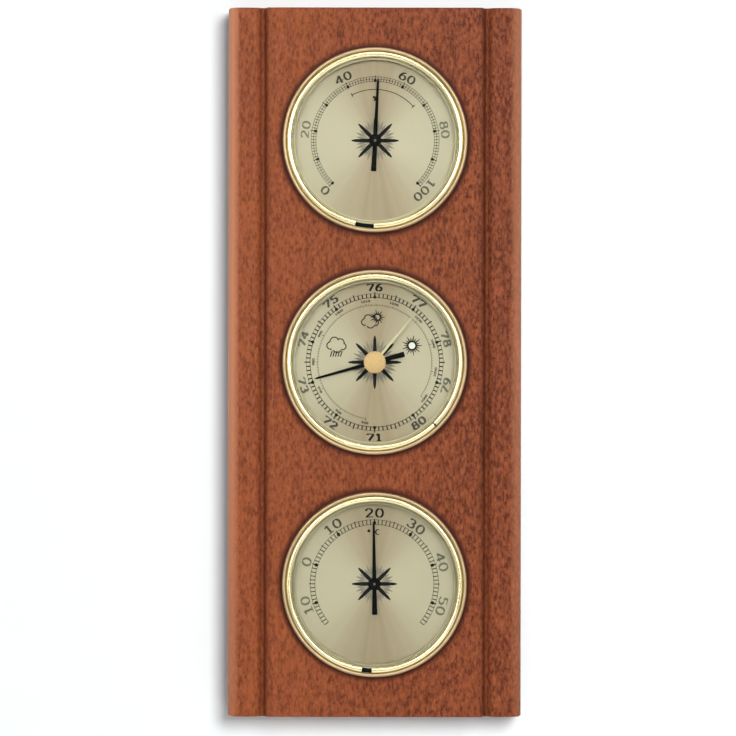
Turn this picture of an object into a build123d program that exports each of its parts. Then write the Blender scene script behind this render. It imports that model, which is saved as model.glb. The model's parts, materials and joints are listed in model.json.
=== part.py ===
"""Wall weather station: a grooved board with a hygrometer, an aneroid barometer and a thermometer.

Millimetres. The origin is the round end of the hanger's keyhole on the back plane.
+Z is up and the dials face -Y.
"""
import os
from math import acos, atan2, cos, degrees, pi, radians, sin, sqrt, tan

from build123d import *

os.makedirs("parts", exist_ok=True)

# Clearances
fit_play = 0.05
shaft_play = 0.05
loose_play = 0.1
bore_play = 0.4
dial_play = 0.3

# Instruments, all of one size on one vertical line; radii follow from the bezel inwards
bezel_radius = 42.5
instrument_gap = 17.2
sheet = 0.6
rim_width = 1.7
rim_height = 3.4
ledge_width = 3.5
bezel_overlap = 3.5
ring_width = 2.6
ring_height = 1.5
dial_step = 2.4
spacer_wall = 0.7
dial_depth = 2.6
dial_thickness = 0.6
gasket_thickness = 0.3
gasket_inset = 0.5
glass_thickness = 1.5
instrument_pitch = 2 * bezel_radius + instrument_gap
rim_inner_radius = bezel_radius - rim_width
sight_radius = rim_inner_radius - ledge_width
ring_outer_radius = rim_inner_radius - loose_play
ring_inner_radius = ring_outer_radius - ring_width
glass_radius = rim_inner_radius - 2 * loose_play
gasket_inner_radius = ring_inner_radius + gasket_inset
flange_radius = bezel_radius - sheet - loose_play
bore_radius = bezel_radius - bezel_overlap
cup_radius = bore_radius - bore_play - sheet
dial_radius = cup_radius - dial_play
spacer_inner_radius = dial_radius - spacer_wall
well_radius = cup_radius - dial_step
ledge_top = 2 * sheet
glass_back = ledge_top + gasket_thickness
glass_front = glass_back + glass_thickness
dial_top = -dial_depth
dial_back = dial_top - dial_thickness

# Spring tongues and vents of the cases
tongue_width = 8.0
tongue_base_depth = 16.0
tongue_tip_depth = 8.0
tongue_tip_radius = bore_radius - bore_play
vent_count = 8
vent_inset = 10.6
vent_length = 9.0
vent_width = 2.4
vent_circle = well_radius - vent_inset

# Readings in the rest pose and the scales behind them, degrees clockwise from the top
hygrometer_angle = (51.0 - 50.0) * 2.7
thermometer_angle = (19.8 - 20.0) * 3.6
barometer_angle = (73.07 - 76.0) * 36.0
barometer_mid_angle = (75.5 - 76.0) * 36.0
set_hand_angle = 39.5

# Gap of each split ring, clock angle of the middle and width in degrees
hygrometer_gap = (187.0, 12.3)
barometer_gap = (136.0, 1.2)
thermometer_gap = (185.0, 6.7)

# Pointers
pointer_margin = 8.0
pointer_root_width = 1.9
pointer_tip_width = 1.0
pointer_point = 1.6
pointer_tail = 14.2
pointer_tail_width = 1.7
pointer_tail_end_width = 2.5
pointer_tail_corner = 0.4
pointer_thickness = 0.4
pointer_lift = 0.8
hub_radius = 2.9
hub_height = 1.1
hub_lift = 0.5
hub_bevel = 0.25
arbor_show = 0.25
seat_radius = 0.6
arbor_radius = 0.8
pivot_radius = 0.5
pointer_length = spacer_inner_radius - pointer_margin
hub_back = dial_top + hub_lift
hub_front = hub_back + hub_height
arbor_end = hub_front + arbor_show

# Wheel train of the barometer; its module follows from the room below the dial's middle
sector_axis_inset = 8.1
pressure_angle = 20.0
pinion_teeth = 10
sector_teeth = 100
sector_cut_teeth = 13
sector_axis_up = sector_axis_inset - well_radius
gear_module = -2 * sector_axis_up / (pinion_teeth + sector_teeth)
backlash = 0.16 * gear_module
sector_addendum = 0.5 * gear_module
pinion_addendum = gear_module
dedendum = 1.3 * gear_module
pinion_length = 1.3
sector_thickness = 0.9
sector_rim = 2.6
sector_hub_radius = 2.4
sector_seat_radius = 1.3
sector_spoke_width = 2.4
sector_spoke_angle = 14.0
sector_tail_reach = 7.2
sector_tail_half_width = 0.8
sector_arm = 6.0
sector_arm_gap = 0.35
half_swing = 162.0
rocker_half_swing = 15.3
spring_width = 0.6
spring_thickness = 0.16
spring_pitch = 0.9
spring_half_turns = 10
spring_start_radius = 1.6
spring_collet_radius = 1.4
spring_stud_width = 1.0
pinion_radius = gear_module * pinion_teeth / 2
sector_radius = gear_module * sector_teeth / 2

# Barometer movement, a stack from the dial back to the floor of the case
plate_screw_head = 0.7
plate_screw_head_radius = 2.0
front_plate_thickness = 1.0
rear_plate_thickness = 0.9
train_gap = 0.3
spring_gap = 0.2
lever_room = 1.35
lever_thickness = 0.8
capsule_post_height = 1.05
capsule_thickness = 3.6
capsule_collar_height = 0.6
plate_thickness = 1.2
front_plate_front = dial_back - dial_play - plate_screw_head
front_plate_back = front_plate_front - front_plate_thickness
pinion_front = front_plate_back - train_gap
pinion_back = pinion_front - pinion_length
sector_back = pinion_back + (pinion_length - sector_thickness) / 2
spring_back = pinion_back - spring_gap - spring_width
rear_plate_front = spring_back - train_gap
rear_plate_back = rear_plate_front - rear_plate_thickness
lever_back = rear_plate_back - lever_room - lever_thickness
capsule_front = lever_back - capsule_post_height
capsule_back = capsule_front - capsule_thickness
plate_front = capsule_back - capsule_collar_height
well_floor = plate_front - plate_thickness
case_back = well_floor - sheet

# Barometer movement, across the dial
plate_wall_gap = 1.6
plate_screw_inset = 6.0
capsule_radius = 15.0
capsule_collar_radius = 5.0
capsule_post_radius = 1.6
wave_height = 0.5
wave_count = 3
wave_margin = 0.9
adjuster_radius = 2.0
adjuster_slot = 0.6
lever_pivot_gap = 4.0
lever_width = 4.5
lever_tip_width = 2.6
lever_knuckle_radius = 1.4
lever_knuckle_length = 8.0
lever_axle_radius = 0.7
lever_ear_gap = 9.0
lever_rest_gap = 0.05
lever_pin_radius = 0.45
lever_pin_gap = 0.3
ear_thickness = 1.0
ear_width = 5.0
rocker_drop = 2.05
rocker_radius = 0.9
rocker_pivot_radius = 0.6
rocker_ear_radius = 1.2
rocker_left = -5.0
rocker_right = 9.5
rocker_arm_reach = 3.0
rocker_arm_width = 2.4
rocker_arm_thickness = 1.0
rocker_post_width = 0.8
rocker_post_thickness = 1.0
rocker_slot_length = 7.0
rocker_slot_width = 2.4
pillar_radius = 2.2
pillar_stub_radius = 1.2
pillar_spread = 15.0
plate_corner_radius = 3.4
bearing_wall_gap = 0.8
plate_radius = well_radius - plate_wall_gap
plate_screw_circle = plate_radius - plate_screw_inset
pillar_circle = well_radius - bearing_wall_gap - plate_corner_radius
pillar_drop = sqrt(pillar_circle**2 - pillar_spread**2)
pillar_places = [(0.0, pillar_circle), (-pillar_spread, -pillar_drop), (pillar_spread, -pillar_drop)]

# Rest pose of the movement, each piece turned from its mid-scale place
rocker_height = sector_axis_up
lever_pivot_height = capsule_radius + lever_pivot_gap
lever_axis_out = lever_back + lever_thickness / 2
rocker_out = lever_axis_out - rocker_drop
pointer_turn = barometer_angle - barometer_mid_angle
sector_turn = -pointer_turn * pinion_teeth / sector_teeth
rocker_turn = pointer_turn * rocker_half_swing / half_swing
lever_reach = lever_pivot_height - rocker_height - rocker_arm_reach
lever_half_swing = degrees(atan2(rocker_arm_reach * tan(radians(rocker_half_swing)), lever_reach))
lever_turn = pointer_turn * lever_half_swing / half_swing
lever_rest_lift = -lever_pivot_height * tan(radians(lever_turn))

# Coil movement of the hygrometer and the thermometer
coil_plate_margin = 2.8
coil_plate_thickness = 1.0
boss_radius = 2.5
boss_height = 2.0
coil_thickness = 0.35
coil_pitch = 1.5
coil_half_turns = 12
coil_start_radius = 2.2
coil_lift = 1.2
coil_width = 5.0
collet_radius = 1.9
post_width = 1.8
post_depth = 1.6
post_corner = 0.3
bush_radius = 1.8
bush_flange_radius = 3.2
bush_flange = 1.0
back_screw_radius = 1.2
back_screw_head_radius = 2.2
back_screw_head = 1.0
screw_slot = 0.5
coil_screw_inset = 4.0
coil_plate_front = well_floor + coil_plate_thickness
boss_front = coil_plate_front + boss_height
coil_back = boss_front + coil_lift
coil_end_radius = coil_start_radius + coil_half_turns * coil_pitch / 2
coil_plate_radius = coil_end_radius + coil_plate_margin
coil_screw_circle = coil_plate_radius - coil_screw_inset

# Set hand worked by the knob on the glass
knob_radius = 5.1
knob_lift = 0.25
knob_height = 4.6
knob_dome = 0.25
knob_lip = 0.35
knurl_count = 36
knurl_radius = 0.32
knob_shaft_radius = 1.5
knob_stub_radius = 1.0
set_hand_thickness = 0.3
set_hand_short = 2.4
set_hand_width = 1.3
set_hand_tip_width = 0.5
set_hub_radius = 2.4
set_hub_height = 0.65
set_hub_gap = 0.65
set_hand_length = pointer_length - set_hand_short
knob_base = glass_front + knob_lift
knob_shoulder = glass_back - set_hub_gap
set_hub_back = knob_shoulder - set_hub_height
set_hand_back = set_hub_back + fit_play
knob_stub_end = set_hub_back - loose_play

# Board, with a border around the row of bezels
side_border = 25.2
end_border = 18.7
back_recess = 2.0
board_edge_radius = 5.0
end_chamfer = 0.6
groove_inset = 16.0
groove_depth = 3.2
groove_bottom_radius = 1.2
strip_step = 1.2
strip_shoulder_radius = 5.0
board_width = 2 * (bezel_radius + side_border)
end_margin = bezel_radius + end_border
board_height = 2 * (instrument_pitch + end_margin)
board_thickness = back_recess - case_back

# Keyhole hanger let into the back, midway between the top edge and the first bore
hanger_width = 38.0
hanger_height = 15.0
hanger_thickness = 1.2
hanger_corner = 3.0
keyhole_radius = 3.6
keyhole_slot_radius = 1.8
keyhole_slot_rise = 4.0
hanger_pocket_width = 14.0
hanger_pocket_height = 11.8
hanger_pocket_rise = 1.4
hanger_pocket_depth = 9.0
hanger_screw_spacing = 27.0
hanger_screw_radius = 1.3
hanger_screw_head_radius = 2.4
hanger_screw_length = 11.0
slot_overrun = 2.2

# Places on the board
board_top = (end_margin - bore_radius) / 2
board_bottom = board_top - board_height
hygrometer_height = board_top - end_margin
barometer_height = hygrometer_height - instrument_pitch
thermometer_height = barometer_height - instrument_pitch


def dial_plane(height, out=0.0, turn=0.0):
    """Plane parallel to the board's face: x to the right, y up, z towards the viewer, turned clockwise."""
    a = radians(-turn)
    return Plane(origin=(0, -board_thickness - out, height), x_dir=(cos(a), 0, sin(a)), z_dir=(0, -1, 0))


def side_plane(height, out, across=0.0, turn=0.0):
    """Plane seen from the side of the barometer: x up the board, y towards the viewer, z to the right."""
    a = radians(turn)
    return Plane(
        origin=(across, -board_thickness - out, barometer_height + height),
        x_dir=(0, -sin(a), cos(a)), z_dir=(1, 0, 0),
    )


def radial_plane(height, angle=0.0):
    """Half-section plane of an instrument: x is the radius, y the distance out from the board's face."""
    a = radians(angle)
    return Plane(origin=(0, -board_thickness, height), x_dir=(cos(a), 0, sin(a)), z_dir=(sin(a), 0, -cos(a)))


def dial_axis(height, across=0.0, up=0.0):
    """Axis through a dial, or parallel to it, pointing into the board."""
    return Axis((across, -board_thickness, height + up), (0, 1, 0))


def offset_section(height, across, up):
    """Half-section plane around an axis beside the dial's middle."""
    return Plane(origin=(across, -board_thickness, height + up), x_dir=(1, 0, 0), z_dir=(0, 0, -1))


def back_plane():
    """Back of the board: x to the right seen from the front, y up, z into the wood."""
    return Plane(origin=(0, 0, 0), x_dir=(1, 0, 0), z_dir=(0, -1, 0))


def back_section(across):
    """Half-section plane of a screw in the back: x is the radius, y the distance behind the board."""
    return Plane(origin=(across, 0, 0), x_dir=(1, 0, 0), z_dir=(0, 0, 1))


def write(piece, name):
    piece.part.label = name
    export_step(piece.part, f"parts/{name}.step")


# Board: the middle field stands proud of two side strips, with a groove between, steep towards the field.
# The profile is drawn as a half and mirrored.
half_width = board_width / 2
groove_middle = half_width - groove_inset
front = -board_thickness
strip_front = front + strip_step
field_shoulder_radius = groove_depth - groove_bottom_radius
strip_shoulder_sum = groove_bottom_radius + strip_shoulder_radius
strip_shoulder_drop = strip_shoulder_sum - (groove_depth - strip_step)
strip_turn = degrees(acos(strip_shoulder_drop / strip_shoulder_sum))
field_edge = groove_middle - groove_depth
strip_edge = groove_middle + sqrt(strip_shoulder_sum**2 - strip_shoulder_drop**2)
with BuildPart() as board:
    with BuildSketch(Plane.XY.offset(board_bottom)):
        with BuildLine():
            Polyline((0, 0), (half_width, 0), (half_width, strip_front + board_edge_radius))
            CenterArc(
                (half_width - board_edge_radius, strip_front + board_edge_radius), board_edge_radius, 0, -90,
            )
            Line((half_width - board_edge_radius, strip_front), (strip_edge, strip_front))
            CenterArc(
                (strip_edge, strip_front + strip_shoulder_radius), strip_shoulder_radius, -90, -strip_turn,
            )
            CenterArc(
                (groove_middle, front + groove_depth - groove_bottom_radius),
                groove_bottom_radius, 90 - strip_turn, 90 + strip_turn,
            )
            CenterArc((field_edge, front + field_shoulder_radius), field_shoulder_radius, 0, -90)
            Line((field_edge, front), (0, front))
            mirror(about=Plane.YZ)
        make_face()
    extrude(amount=board_height)
    chamfer(board.faces().filter_by(Axis.Z).edges(), end_chamfer)
    with BuildSketch(dial_plane(barometer_height)):
        with Locations((0, instrument_pitch), (0, 0), (0, -instrument_pitch)):
            Circle(bore_radius)
    extrude(amount=-board_thickness, mode=Mode.SUBTRACT)
    with BuildSketch(back_plane()):
        RectangleRounded(hanger_width + 2 * loose_play, hanger_height + 2 * loose_play, hanger_corner)
    extrude(amount=hanger_thickness, mode=Mode.SUBTRACT)
    with BuildSketch(back_plane()):
        with Locations((0, hanger_pocket_rise)):
            RectangleRounded(hanger_pocket_width, hanger_pocket_height, hanger_corner)
    extrude(amount=hanger_pocket_depth, mode=Mode.SUBTRACT)
    with BuildSketch(back_plane()):
        with GridLocations(hanger_screw_spacing, 1, 2, 1):
            Circle(hanger_screw_radius + fit_play)
    extrude(amount=hanger_screw_length + loose_play, mode=Mode.SUBTRACT)
write(board, "board")

# Keyhole hanger plate, flush with the back of the board
head_depth = hanger_screw_head_radius - hanger_screw_radius
with BuildPart() as hanger_plate:
    with BuildSketch(back_plane()):
        RectangleRounded(hanger_width, hanger_height, hanger_corner)
        Circle(keyhole_radius, mode=Mode.SUBTRACT)
        with Locations((0, keyhole_slot_rise / 2)):
            Rectangle(2 * keyhole_slot_radius, keyhole_slot_rise, mode=Mode.SUBTRACT)
        with Locations((0, keyhole_slot_rise)):
            Circle(keyhole_slot_radius, mode=Mode.SUBTRACT)
    extrude(amount=hanger_thickness)
    for side in (-1, 1):
        across = side * hanger_screw_spacing / 2
        with BuildSketch(back_section(across)):
            Polygon(
                (0, 0), (hanger_screw_head_radius + loose_play, 0),
                (hanger_screw_radius + loose_play, -head_depth),
                (hanger_screw_radius + loose_play, -hanger_thickness), (0, -hanger_thickness),
                align=None,
            )
        revolve(axis=Axis((across, 0, 0), (0, 1, 0)), mode=Mode.SUBTRACT)
write(hanger_plate, "hanger_plate")

# Two countersunk wood screws with slotted heads
with BuildPart() as hanger_screws:
    for side in (-1, 1):
        across = side * hanger_screw_spacing / 2
        with BuildSketch(back_section(across)):
            Polygon(
                (0, 0), (hanger_screw_head_radius, 0), (hanger_screw_radius, -head_depth),
                (hanger_screw_radius, -hanger_screw_length + 2 * hanger_screw_radius),
                (0, -hanger_screw_length),
                align=None,
            )
        revolve(axis=Axis((across, 0, 0), (0, 1, 0)))
    with BuildSketch(back_plane()):
        with GridLocations(hanger_screw_spacing, 1, 2, 1):
            Rectangle(slot_overrun * hanger_screw_head_radius, screw_slot, rotation=25)
    extrude(amount=screw_slot, mode=Mode.SUBTRACT)
write(hanger_screws, "hanger_screws")


def make_case(name, height, screw_places, vented):
    """Drawn cup with a flange on the board, a step for the dial and three spring tongues in the bore."""
    with BuildPart() as case:
        with BuildSketch(radial_plane(height)):
            Polygon(
                (0, case_back), (well_radius + sheet, case_back), (well_radius + sheet, dial_back - sheet),
                (cup_radius + sheet, dial_back - sheet), (cup_radius + sheet, 0), (flange_radius, 0),
                (flange_radius, sheet), (cup_radius, sheet), (cup_radius, dial_back),
                (well_radius, dial_back), (well_radius, well_floor), (0, well_floor),
                align=None,
            )
        revolve(axis=dial_axis(height))
        inside_wall = well_radius + sheet / 6
        for angle in (90, 210, 330):
            with BuildSketch(radial_plane(height, angle)):
                Polygon(
                    (inside_wall, -tongue_base_depth), (tongue_tip_radius, -tongue_tip_depth),
                    (tongue_tip_radius - sheet, -tongue_tip_depth),
                    (inside_wall, -tongue_base_depth + 3 * sheet),
                    align=None,
                )
            extrude(amount=tongue_width / 2, both=True)
        with BuildSketch(dial_plane(height, case_back)):
            with Locations(*screw_places):
                Circle(back_screw_radius + loose_play)
            if vented:
                with PolarLocations(vent_circle, vent_count, start_angle=180 / vent_count):
                    SlotOverall(vent_length, vent_width, rotation=90)
            else:
                Circle(adjuster_radius + 2 * loose_play)
        extrude(amount=sheet, mode=Mode.SUBTRACT)
    write(case, f"{name}_case")


def make_bezel(name, height):
    """Spun brass bezel: a rounded rim, a wall for the split ring and a ledge under the glass."""
    rim_middle = (bezel_radius + rim_inner_radius) / 2
    rim_radius = (bezel_radius - rim_inner_radius) / 2
    with BuildPart() as bezel:
        with BuildSketch(radial_plane(height)):
            with BuildLine():
                Polyline((flange_radius + loose_play, 0), (bezel_radius, 0), (bezel_radius, rim_height))
                CenterArc((rim_middle, rim_height), rim_radius, 0, 180)
                Polyline(
                    (rim_inner_radius, rim_height), (rim_inner_radius, ledge_top), (sight_radius, ledge_top),
                    (sight_radius, sheet), (flange_radius + loose_play, sheet),
                    (flange_radius + loose_play, 0),
                )
            make_face()
        revolve(axis=dial_axis(height))
    write(bezel, f"{name}_bezel")


def make_gasket(name, height):
    """Dark sealing ring between the ledge and the glass."""
    with BuildPart() as gasket:
        with BuildSketch(dial_plane(height, ledge_top)):
            Circle(glass_radius)
            Circle(gasket_inner_radius, mode=Mode.SUBTRACT)
        extrude(amount=gasket_thickness)
    write(gasket, f"{name}_gasket")


def make_glass(name, height, hole_radius):
    """Flat glass disc, drilled in the middle where a set hand is fitted."""
    with BuildPart() as glass:
        with BuildSketch(dial_plane(height, glass_back)):
            Circle(glass_radius)
            if hole_radius:
                Circle(hole_radius, mode=Mode.SUBTRACT)
        extrude(amount=glass_thickness)
    write(glass, f"{name}_glass")


def make_glass_ring(name, height, gap):
    """Half-round split ring that springs outwards into the bezel and holds the glass down."""
    middle = (ring_inner_radius + ring_outer_radius) / 2
    with BuildPart() as ring:
        with BuildSketch(radial_plane(height, 90 - gap[0] - gap[1] / 2)):
            with BuildLine():
                ThreePointArc(
                    (ring_outer_radius, glass_front), (middle, glass_front + ring_height),
                    (ring_inner_radius, glass_front),
                )
                Line((ring_inner_radius, glass_front), (ring_outer_radius, glass_front))
            make_face()
        revolve(axis=dial_axis(height), revolution_arc=360 - gap[1])
    write(ring, f"{name}_glass_ring")


def make_spacer(name, height):
    """Thin ring that keeps the dial down on its step, under the bezel's ledge."""
    with BuildPart() as spacer:
        with BuildSketch(dial_plane(height, dial_top)):
            Circle(dial_radius)
            Circle(spacer_inner_radius, mode=Mode.SUBTRACT)
        extrude(amount=sheet - dial_top)
    write(spacer, f"{name}_spacer")


def make_dial(name, height, hole_radius):
    """Dial plate resting on the step of the case."""
    with BuildPart() as dial:
        with BuildSketch(dial_plane(height, dial_back)):
            Circle(dial_radius)
            Circle(hole_radius, mode=Mode.SUBTRACT)
        extrude(amount=dial_thickness)
    write(dial, f"{name}_dial")


def make_pointer(name, height, angle):
    """Lance-shaped hand with a counterweight tail on a round hub."""
    with BuildPart() as pointer:
        with BuildSketch(dial_plane(height, dial_top + pointer_lift, angle)) as blade:
            Polygon(
                (-pointer_root_width / 2, 0), (-pointer_tip_width / 2, pointer_length - pointer_point),
                (0, pointer_length), (pointer_tip_width / 2, pointer_length - pointer_point),
                (pointer_root_width / 2, 0), (pointer_tail_width / 2, 0),
                (pointer_tail_end_width / 2, -pointer_tail), (-pointer_tail_end_width / 2, -pointer_tail),
                (-pointer_tail_width / 2, 0),
                align=None,
            )
            fillet(blade.vertices().sort_by(Axis.Y)[:2], radius=pointer_tail_corner)
            Circle(seat_radius, mode=Mode.SUBTRACT)
        extrude(amount=pointer_thickness)
        with BuildSketch(radial_plane(height)):
            Polygon(
                (seat_radius, hub_back), (hub_radius, hub_back), (hub_radius, hub_front - hub_bevel),
                (hub_radius - hub_bevel, hub_front), (seat_radius, hub_front),
                align=None,
            )
        revolve(axis=dial_axis(height))
    write(pointer, f"{name}_pointer")


def spiral_strip(start_radius, pitch, half_turns, thickness):
    """Flat spiral strip drawn with half circles about two centres half a pitch apart."""
    with BuildSketch() as strip:
        with BuildLine():
            for side in (0.5, -0.5):
                for turn in range(half_turns):
                    CenterArc(
                        (pitch / 2 * (turn % 2), 0), start_radius + turn * pitch / 2 + side * thickness,
                        180 * (turn % 2), 180,
                    )
            for radius in (start_radius, start_radius + half_turns * pitch / 2):
                Line((radius - thickness / 2, 0), (radius + thickness / 2, 0))
        make_face()
    return strip.sketch


def pan_screws(height, places, shank_front):
    """Slotted pan-head screws entering from the back of a case, one solid each."""
    head_back = case_back - back_screw_head
    with BuildPart() as screws:
        for across, up in places:
            with BuildSketch(offset_section(height, across, up)):
                Polygon(
                    (0, head_back), (back_screw_head_radius, head_back), (back_screw_head_radius, case_back),
                    (back_screw_radius, case_back), (back_screw_radius, shank_front), (0, shank_front),
                    align=None,
                )
            revolve(axis=dial_axis(height, across, up))
        with BuildSketch(dial_plane(height, head_back)):
            with Locations(*places):
                Rectangle(slot_overrun * back_screw_head_radius, screw_slot, rotation=-35)
        extrude(amount=screw_slot, mode=Mode.SUBTRACT)
    return screws


coil_screw_places = [(0.0, coil_screw_circle), (0.0, -coil_screw_circle)]


def make_coil_movement(name, height):
    """Spiral strip that turns an arbor: its outer end on a post, its inner end on the arbor's collet."""
    with BuildPart() as base_plate:
        with BuildSketch(dial_plane(height, well_floor)):
            Circle(coil_plate_radius)
            with Locations(*coil_screw_places):
                Circle(back_screw_radius + fit_play, mode=Mode.SUBTRACT)
        extrude(amount=coil_plate_thickness)
        with BuildSketch(dial_plane(height, coil_plate_front)):
            Circle(boss_radius)
        extrude(amount=boss_height)
        with BuildSketch(dial_plane(height, coil_plate_front)):
            Circle(pivot_radius + shaft_play)
        extrude(amount=boss_height, mode=Mode.SUBTRACT)
    write(base_plate, f"{name}_base_plate")

    write(pan_screws(height, coil_screw_places, coil_plate_front), f"{name}_base_screws")

    with BuildPart() as coil_post:
        with BuildSketch(dial_plane(height, coil_plate_front)):
            with Locations((coil_end_radius, post_depth / 2)):
                RectangleRounded(post_width, post_depth, post_corner)
        extrude(amount=coil_back + coil_width - coil_plate_front)
    write(coil_post, f"{name}_coil_post")

    with BuildPart() as coil:
        with BuildSketch(dial_plane(height, coil_back)):
            add(spiral_strip(coil_start_radius, coil_pitch, coil_half_turns, coil_thickness))
        extrude(amount=coil_width)
    write(coil, f"{name}_coil")

    collet_back = coil_back - 2 * loose_play
    collet_front = coil_back + coil_width + 2 * loose_play
    with BuildPart() as arbor:
        with BuildSketch(radial_plane(height)):
            Polygon(
                (0, coil_plate_front + loose_play), (pivot_radius, coil_plate_front + loose_play),
                (pivot_radius, boss_front + loose_play), (arbor_radius, boss_front + loose_play),
                (arbor_radius, collet_back), (collet_radius, collet_back), (collet_radius, collet_front),
                (arbor_radius, collet_front), (arbor_radius, hub_back), (seat_radius, hub_back),
                (seat_radius, arbor_end), (0, arbor_end),
                align=None,
            )
        revolve(axis=dial_axis(height))
    write(arbor, f"{name}_arbor")

    with BuildPart() as bush:
        with BuildSketch(radial_plane(height)):
            bore = arbor_radius + shaft_play
            bush_front = dial_top + 2 * loose_play
            Polygon(
                (bore, dial_back - bush_flange), (bush_flange_radius, dial_back - bush_flange),
                (bush_flange_radius, dial_back), (bush_radius, dial_back), (bush_radius, bush_front),
                (bore, bush_front),
                align=None,
            )
        revolve(axis=dial_axis(height))
    write(bush, f"{name}_bush")


# The three instruments: the shell, glass and dial are alike, the movements differ
barometer_screw_places = [(plate_screw_circle, 0.0), (-plate_screw_circle, 0.0)]
glass_hole_radius = knob_shaft_radius + loose_play
make_case("hygrometer", hygrometer_height, coil_screw_places, True)
make_case("barometer", barometer_height, barometer_screw_places, False)
make_case("thermometer", thermometer_height, coil_screw_places, True)
make_glass("hygrometer", hygrometer_height, 0)
make_glass("barometer", barometer_height, glass_hole_radius)
make_glass("thermometer", thermometer_height, 0)
make_glass_ring("hygrometer", hygrometer_height, hygrometer_gap)
make_glass_ring("barometer", barometer_height, barometer_gap)
make_glass_ring("thermometer", thermometer_height, thermometer_gap)
make_dial("hygrometer", hygrometer_height, bush_radius + fit_play)
make_dial("barometer", barometer_height, 2 * arbor_radius)
make_dial("thermometer", thermometer_height, bush_radius + fit_play)
make_pointer("hygrometer", hygrometer_height, hygrometer_angle)
make_pointer("barometer", barometer_height, barometer_angle)
make_pointer("thermometer", thermometer_height, thermometer_angle)
for instrument, place in (
    ("hygrometer", hygrometer_height), ("barometer", barometer_height), ("thermometer", thermometer_height),
):
    make_bezel(instrument, place)
    make_gasket(instrument, place)
    make_spacer(instrument, place)
make_coil_movement("hygrometer", hygrometer_height)
make_coil_movement("thermometer", thermometer_height)

# Barometer movement: base plate on the floor of the case
with BuildPart() as barometer_base_plate:
    with BuildSketch(dial_plane(barometer_height, well_floor)):
        Circle(plate_radius)
        Circle(adjuster_radius + fit_play, mode=Mode.SUBTRACT)
        with Locations(*barometer_screw_places):
            Circle(back_screw_radius + fit_play, mode=Mode.SUBTRACT)
    extrude(amount=plate_thickness)
write(barometer_base_plate, "barometer_base_plate")

write(pan_screws(barometer_height, barometer_screw_places, plate_front), "barometer_base_screws")

# Slotted adjusting screw in the middle of the base plate, bearing on the capsule's underside
adjuster_back = case_back + 2 * loose_play
adjuster_front = capsule_back - loose_play
with BuildPart() as adjusting_screw:
    with BuildSketch(dial_plane(barometer_height, adjuster_back)):
        Circle(adjuster_radius)
    extrude(amount=adjuster_front - adjuster_back)
    with BuildSketch(dial_plane(barometer_height, adjuster_back)):
        Rectangle(slot_overrun * adjuster_radius, adjuster_slot, rotation=20)
    extrude(amount=adjuster_slot, mode=Mode.SUBTRACT)
write(adjusting_screw, "adjusting_screw")

# Evacuated capsule: two corrugated diaphragms, a collar below and the lifting post in front
capsule_post_front = lever_back + lever_rest_lift - lever_rest_gap
with BuildPart() as aneroid_capsule:
    wave_start = capsule_collar_radius + wave_margin
    wave_length = (capsule_radius - wave_margin - wave_start) / wave_count
    with BuildSketch(radial_plane(barometer_height)):
        with BuildLine():
            Polyline(
                (0, capsule_back), (adjuster_radius + 3 * loose_play, capsule_back),
                (adjuster_radius + 3 * loose_play, plate_front), (capsule_collar_radius, plate_front),
                (capsule_collar_radius, capsule_back), (wave_start, capsule_back),
            )
            for wave in range(wave_count):
                inner = wave_start + wave * wave_length
                for edge, bulge in ((capsule_back, wave_height), (capsule_front, -wave_height)):
                    ThreePointArc(
                        (inner, edge), (inner + wave_length / 2, edge + bulge), (inner + wave_length, edge),
                    )
            wave_end = wave_start + wave_count * wave_length
            Polyline(
                (wave_end, capsule_back), (capsule_radius, capsule_back + wave_height),
                (capsule_radius, capsule_front - wave_height), (wave_end, capsule_front),
            )
            Polyline(
                (wave_start, capsule_front), (capsule_post_radius, capsule_front),
                (capsule_post_radius, capsule_post_front), (0, capsule_post_front), (0, capsule_back),
            )
        make_face()
    revolve(axis=dial_axis(barometer_height))
write(aneroid_capsule, "aneroid_capsule")


def ear_bracket(height, axis_out, left, right, top_radius, hole_radius):
    """Bent bracket on the base plate: a foot and two ears bored for one axle along x."""
    rise = axis_out - plate_front
    with BuildPart() as bracket:
        with BuildSketch(dial_plane(barometer_height + height, plate_front)):
            with Locations(((left + right) / 2, 0)):
                Rectangle(right - left, ear_width)
        extrude(amount=ear_thickness)
        for start in (left, right - ear_thickness):
            with BuildSketch(side_plane(height, axis_out, start)):
                Circle(top_radius)
                with Locations((0, -rise / 2)):
                    Rectangle(2 * top_radius, rise)
                Circle(hole_radius, mode=Mode.SUBTRACT)
            extrude(amount=ear_thickness)
    return bracket


# Lever pressed by the capsule, hinged on an axle between two ears
lever_half_gap = lever_ear_gap / 2
lever_bracket = ear_bracket(
    lever_pivot_height, lever_axis_out, -lever_half_gap - ear_thickness, lever_half_gap + ear_thickness,
    lever_knuckle_radius, lever_axle_radius + shaft_play,
)
write(lever_bracket, "lever_bracket")

axle_end = lever_half_gap + ear_thickness + 3 * loose_play
with BuildPart() as lever_axle:
    with BuildSketch(side_plane(lever_pivot_height, lever_axis_out, -axle_end)):
        Circle(lever_axle_radius)
    extrude(amount=2 * axle_end)
write(lever_axle, "lever_axle")

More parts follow.
